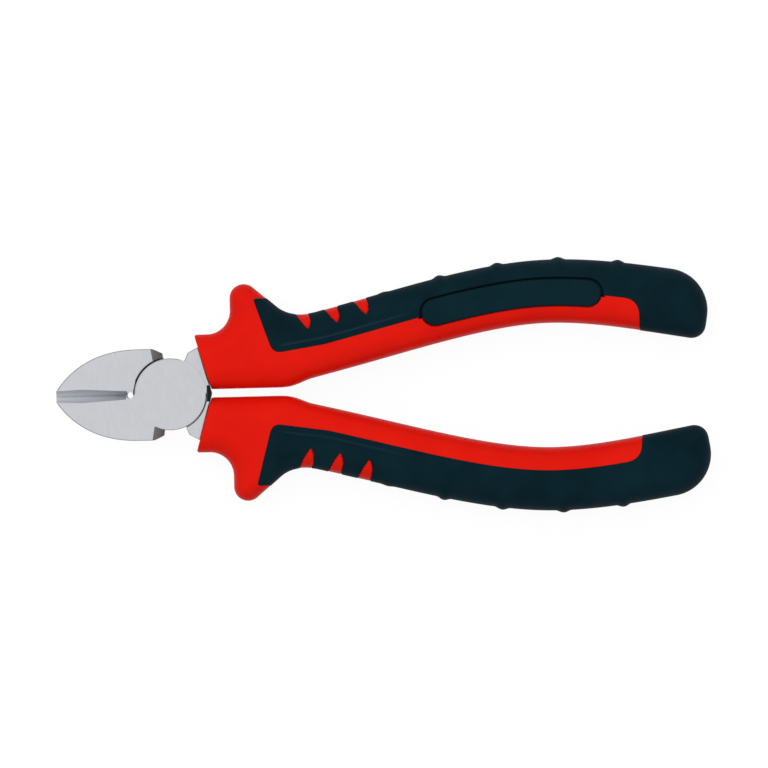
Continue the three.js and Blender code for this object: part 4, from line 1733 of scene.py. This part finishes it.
@dataclass
class Forging:
    """A forged lever: the solid's own shape with its edges broken.

    Sizes are in millimetres and radians.

    Attributes:
        nodes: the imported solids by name.
        finish: the material.
        weld: corners of the solid nearer than this are one.
        flat_merge: faces that turn less than this are one.
        break_turn: edges that turn more than this are broken.
        break_width: width of the broken edges.
        rivet_reach: edges this near the pivot stay sharp.
        disc_radius: radius of the joint disc.
        disc_near: edges this near the disc's rim stay sharp on the half's own side.
        disc_from: that holds only behind this x.
        lap_radius: radius of the pocket that the other disc turns in.
        lap_near: edges this near the pocket's wall stay sharp.
        lap_sharp: that holds only up to this far from the middle.
        bevel_near: edges this near the upper edge of a cutting bevel stay sharp.
        touch: closing faces lie this near the middle.
        touch_from: they lie farther than this from the pivot.
        touch_share: share of their gap that is left.
        flat_rise: a face whose normal rises this far counts as flat.
        flat_turn: least turn that shows at the edge of a flat face.
        corner_turn: least turn that shows elsewhere.
    """

    nodes: dict[str, bpy.types.Object]
    finish: bpy.types.Material
    weld: float = 0.002
    flat_merge: float = math.radians(0.6)
    break_turn: float = math.radians(24.0)
    break_width: float = 0.2
    rivet_reach: float = 4.6
    disc_radius: float = 8.8
    disc_near: float = 0.4
    disc_from: float = 2.5
    lap_radius: float = 9.1
    lap_near: float = 0.2
    lap_sharp: float = 3.4
    bevel_near: float = 0.4
    touch: float = 0.2
    touch_from: float = 8.4
    touch_share: float = 0.02
    flat_rise: float = 0.9
    flat_turn: float = math.radians(0.5)
    corner_turn: float = math.radians(35.0)

    def _closing(self, x: float, y: float) -> bool:
        """Whether a place in plan lies on the closing faces."""
        return abs(y) < self.touch and abs(x) > self.touch_from

    def _broken(self, place: Vector, half: Half) -> bool:
        """Whether an edge is broken: not at the rivet, closing faces, disc, lap or cutting bevels.

        Args:
            place: middle of the edge in the row frame, in millimetres.
            half: which half.

        Returns:
            True if the edge is broken.
        """
        x, y = place.x - PIVOT_X, place.y
        radius = math.hypot(x, y)
        disc = abs(radius - self.disc_radius) < self.disc_near and x > self.disc_from and y * half.value > 0.0
        lap = abs(radius - self.lap_radius) < self.lap_near and abs(y) < self.lap_sharp
        past = abs(abs(y) - BEVEL_ROOT + BEVEL_GROW * x)
        ground = x < -self.lap_radius and past < self.bevel_near
        return radius > self.rivet_reach and not (self._closing(x, y) or disc or lap or ground)

    def _crisp(self, edge: bmesh.types.BMEdge) -> bool:
        """Whether shading breaks at an edge: beside a flat face, and elsewhere only at a real corner."""
        flat = any(abs(face.normal.z) > self.flat_rise for face in edge.link_faces)
        return edge.calc_face_angle(math.pi) > (self.flat_turn if flat else self.corner_turn)

    def _shape(self, half: Half) -> bmesh.types.BMesh:
        """The solid of one half with its closing faces drawn together and its edges broken.

        Args:
            half: which half.

        Returns:
            The mesh under work, with its smooth and sharp edges marked.
        """
        shape = bmesh.new()
        shape.from_mesh(self.nodes[half.named("lever")].data)
        bmesh.ops.remove_doubles(shape, verts=shape.verts, dist=self.weld * MM)
        bmesh.ops.dissolve_limit(shape, angle_limit=self.flat_merge, verts=shape.verts, edges=shape.edges)
        for vertex in shape.verts:
            if self._closing(vertex.co.x / MM - PIVOT_X, vertex.co.y / MM):
                vertex.co.y *= self.touch_share
        broken = [edge for edge in shape.edges
                  if edge.calc_face_angle(0.0) > self.break_turn
                  and self._broken((edge.verts[0].co + edge.verts[1].co) / (2 * MM), half)]
        bmesh.ops.bevel(shape, geom=broken, offset=self.break_width * MM, offset_type="OFFSET", segments=2,
                        profile=0.5, affect="EDGES", clamp_overlap=False)
        shape.normal_update()
        for face in shape.faces:
            face.smooth = True
        for edge in shape.edges:
            edge.smooth = not self._crisp(edge)
        return shape

    def build(self, half: Half) -> bpy.types.Object:
        """The lever of one half, dressed and riding on its body.

        Args:
            half: which half.

        Returns:
            The object.
        """
        name = half.named("forging")
        mesh = bpy.data.meshes.new(name)
        shape = self._shape(half)
        shape.to_mesh(mesh)
        shape.free()
        obj = linked(name, mesh)
        dress(obj, self.finish, half.body, half.named("lever"))
        return obj


@dataclass
class Rivet:
    """The joint rivet: a turned pin whose countersunk heads are ground flush with the joint.

    Attributes:
        finish: the material.
        pin_radius: radius of the pin in millimetres.
        head_radius: radius of the heads at the joint's faces.
        head_depth: depth of a head.
        half_height: height of the joint's faces from its middle.
        steps: points round the rivet.
        sharp: edges that turn more than this many degrees stay sharp.
    """

    finish: bpy.types.Material
    pin_radius: float = 3.0
    head_radius: float = 4.26
    head_depth: float = 1.4
    half_height: float = 5.0
    steps: int = 96
    sharp: float = 30.0

    def build(self) -> bpy.types.Object:
        """The rivet, a profile turned about the pivot's axis, dressed and riding on the upper half.

        Returns:
            The object.
        """
        low, deep = self.half_height, self.half_height - self.head_depth
        profile = np.array([
            [0.0, -low], [self.head_radius, -low], [self.pin_radius, -deep],
            [self.pin_radius, deep], [self.head_radius, low], [0.0, low],
        ])
        turn = np.linspace(0.0, 2 * math.pi, self.steps, endpoint=False)
        grid = np.stack([
            profile[:, :1] * np.cos(turn),
            profile[:, :1] * np.sin(turn),
            np.broadcast_to(profile[:, 1:], (len(profile), self.steps)),
        ], axis=-1)
        faces = grid_faces(*grid.shape[:2]).reshape(-1, 4)
        obj = smooth_object("joint_rivet", Half.UPPER.place(grid.reshape(-1, 3)), faces, self.sharp)
        dress(obj, self.finish, Half.UPPER.body, "pivot_rivet")
        return obj


@dataclass
class Studio:
    """Camera straight above, a pale floor and soft light from a bright room.

    Attributes:
        aim: plan point under the middle of the picture, in millimetres.
        view_width: width of the picture at the pliers' mid height, in millimetres.
        tilt: turn of the pliers in the picture, in degrees.
        lens: focal length in millimetres.
        sensor: width of the sensor in millimetres.
        view_end: farthest distance that is shown, in metres.
        floor_reach: half the floor's side in metres.
        floor_points: points along a side of the floor.
        floor_drop: how far the floor lies under the pliers, in millimetres.
        floor_pale: floor's colour as it is seen.
        floor_dull: floor's colour as it lights the pliers.
        floor_glow: strength of the floor's own light as it is seen.
        glow_share: share of that light in what is seen.
        room_seen: strength of the room's light as it is seen.
        room_lit: its strength as it lights the pliers.
        lamp_size: width of the lamp in metres.
        lamp_power: power of the lamp in watts.
        lamp_place: place of the lamp in metres.
        lamp_turn: turns of the lamp about X and Y, in degrees.
    """

    aim: Span = (0.16, 1.24)
    view_width: float = 188.24
    tilt: float = 1.407
    lens: float = 400.0
    sensor: float = 36.0
    view_end: float = 100.0
    floor_reach: float = 3.0
    floor_points: int = 5
    floor_drop: float = 0.2
    floor_pale: Colour = (0.86, 0.86, 0.86)
    floor_dull: Colour = (0.3, 0.3, 0.3)
    floor_glow: float = 1.04
    glow_share: float = 0.9
    room_seen: float = 1.0
    room_lit: float = 0.55
    lamp_size: float = 1.2
    lamp_power: float = 7.0
    lamp_place: tuple[float, float, float] = (-0.25, 0.35, 1.1)
    lamp_turn: Span = (-17.0, -12.0)

    def camera(self) -> None:
        """The camera, looking straight down."""
        data = bpy.data.cameras.new("camera")
        data.lens, data.sensor_width = self.lens, self.sensor
        data.clip_end = self.view_end
        obj = linked("camera", data)
        rise = self.view_width * MM * self.lens / self.sensor
        obj.location = (self.aim[0] * MM, self.aim[1] * MM, PIVOT_Z * MM + rise)
        obj.rotation_euler = (0.0, 0.0, -math.radians(self.tilt))
        bpy.context.scene.camera = obj

    @staticmethod
    def _seen(nodes: Nodes) -> bpy.types.NodeSocket:
        """Share that tells what is seen from what only lights the pliers.

        Args:
            nodes: nodes of a material or world.

        Returns:
            1 for rays from the camera, mirrored or let through, and 0 for the rest.
        """
        rays = nodes.add("LightPath").outputs
        seen = nodes.math("MAXIMUM", rays["Is Camera Ray"], rays["Is Glossy Ray"])
        return nodes.math("MAXIMUM", seen, rays["Is Transmission Ray"])

    def floor(self) -> None:
        """The floor, a wide flat grid just under the pliers, near white to the camera."""
        side = np.linspace(-self.floor_reach, self.floor_reach, self.floor_points)
        x, y = np.meshgrid(side, side, indexing="ij")
        points = np.stack([x, y, np.full_like(x, -self.floor_drop * MM)], axis=-1).reshape(-1, 3)
        faces = grid_faces(self.floor_points, self.floor_points)[:, :-1].reshape(-1, 4)
        mesh = bpy.data.meshes.new("floor")
        mesh.from_pydata(points.tolist(), [], faces.tolist())
        material, nodes = new_material("pale_floor")
        seen = self._seen(nodes)
        colour = nodes.mix(seen, rgba(self.floor_dull), rgba(self.floor_pale))
        matt = nodes.add("BsdfDiffuse", {"Color": colour})
        glow = nodes.add("Emission", {"Color": rgba((1.0, 1.0, 1.0)), "Strength": self.floor_glow})
        share = nodes.math("MULTIPLY", seen, self.glow_share)
        mixed = nodes.add("MixShader", {0: share, 1: matt.outputs[0], 2: glow.outputs[0]})
        nodes.add("OutputMaterial", {"Surface": mixed.outputs[0]})
        mesh.materials.append(material)
        linked("floor", mesh)

    def light(self) -> None:
        """A bright plain room and one large soft lamp."""
        world = bpy.data.worlds.new("room")
        bpy.context.scene.world = world
        world.use_nodes = True
        nodes = Nodes(world.node_tree)
        gain = self.room_seen - self.room_lit
        strength = nodes.math("MULTIPLY_ADD", self._seen(nodes), gain, self.room_lit)
        back = nodes.add("Background", {"Color": rgba((1.0, 1.0, 1.0)), "Strength": strength})
        nodes.add("OutputWorld", {"Surface": back.outputs[0]})
        lamp = bpy.data.lights.new("soft_lamp", "AREA")
        lamp.shape, lamp.size, lamp.energy = "DISK", self.lamp_size, self.lamp_power
        obj = linked("soft_lamp", lamp)
        obj.location = self.lamp_place
        obj.rotation_euler = (*(math.radians(turn) for turn in self.lamp_turn), 0.0)
        obj.visible_glossy = False


def main() -> None:
    """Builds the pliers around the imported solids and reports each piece."""
    logging.basicConfig(level=logging.INFO, format="%(name)s: %(message)s")
    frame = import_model()
    bpy.context.scene.view_settings.view_transform = "Standard"
    studio = Studio()
    studio.camera()
    studio.floor()
    studio.light()

    # The bevels' brighter colour at their foot is painted light.
    steel = ForgedFinish(
        "forged_steel", flat=(0.58, 0.59, 0.62), bevel=(0.48, 0.50, 0.54), painted_bevel_light=(0.83, 0.85, 0.88),
        # The slanting faces' darker colour is partly a duller finish and partly painted shade.
        slant=(0.165, 0.168, 0.175), black=(0.004, 0.004, 0.005), rough=0.32)
    red = MouldedFinish(
        "hard_plastic", light=(0.82, 0.010, 0.003), dark=(0.76, 0.008, 0.003),
        rough=0.4, shine=0.06, grain=0.35, depth=0.006)
    # The soft overmould's lighter colour on the scoop's border is a painted highlight, and its darker one at
    # the parting line is painted shade.
    soft = MouldedFinish(
        "soft_overmould", light=(0.0032, 0.019, 0.027), dark=(0.002, 0.0125, 0.019),
        rough=0.6, shine=0.04, grain=0.4, depth=0.012,
        crease=(0.009, 0.030, 0.048), seam_shadow=(0.0006, 0.003, 0.004))
    blank = MouldedFinish(
        "blank_pad", light=(0.0036, 0.020, 0.028), dark=(0.0025, 0.0165, 0.0235),
        rough=0.55, shine=0.04, grain=0.3, depth=0.008)

    form = HandleForm(HandleSizes())
    pad_sizes, windows = PadSizes(), WindowSizes()
    parting = Parting(form, PartingSizes(), pad_sizes)
    forging = Forging(frame["nodes"], steel.material())
    makers: list[Forging | HandlePiece] = [
        forging,
        GripCore(form, red.material(), parting, pad_sizes, windows),
        SoftGrip(form, soft.material(), parting, windows),
        Pad(form, blank.material(), pad_sizes),
    ]
    pieces = [maker.build(half) for half in Half for maker in makers]
    pieces.append(Rivet(forging.finish).build())
    for piece in pieces:
        LOG.info("%s: %d faces", piece.name, len(piece.data.polygons))


if __name__ == "__main__":
    main()
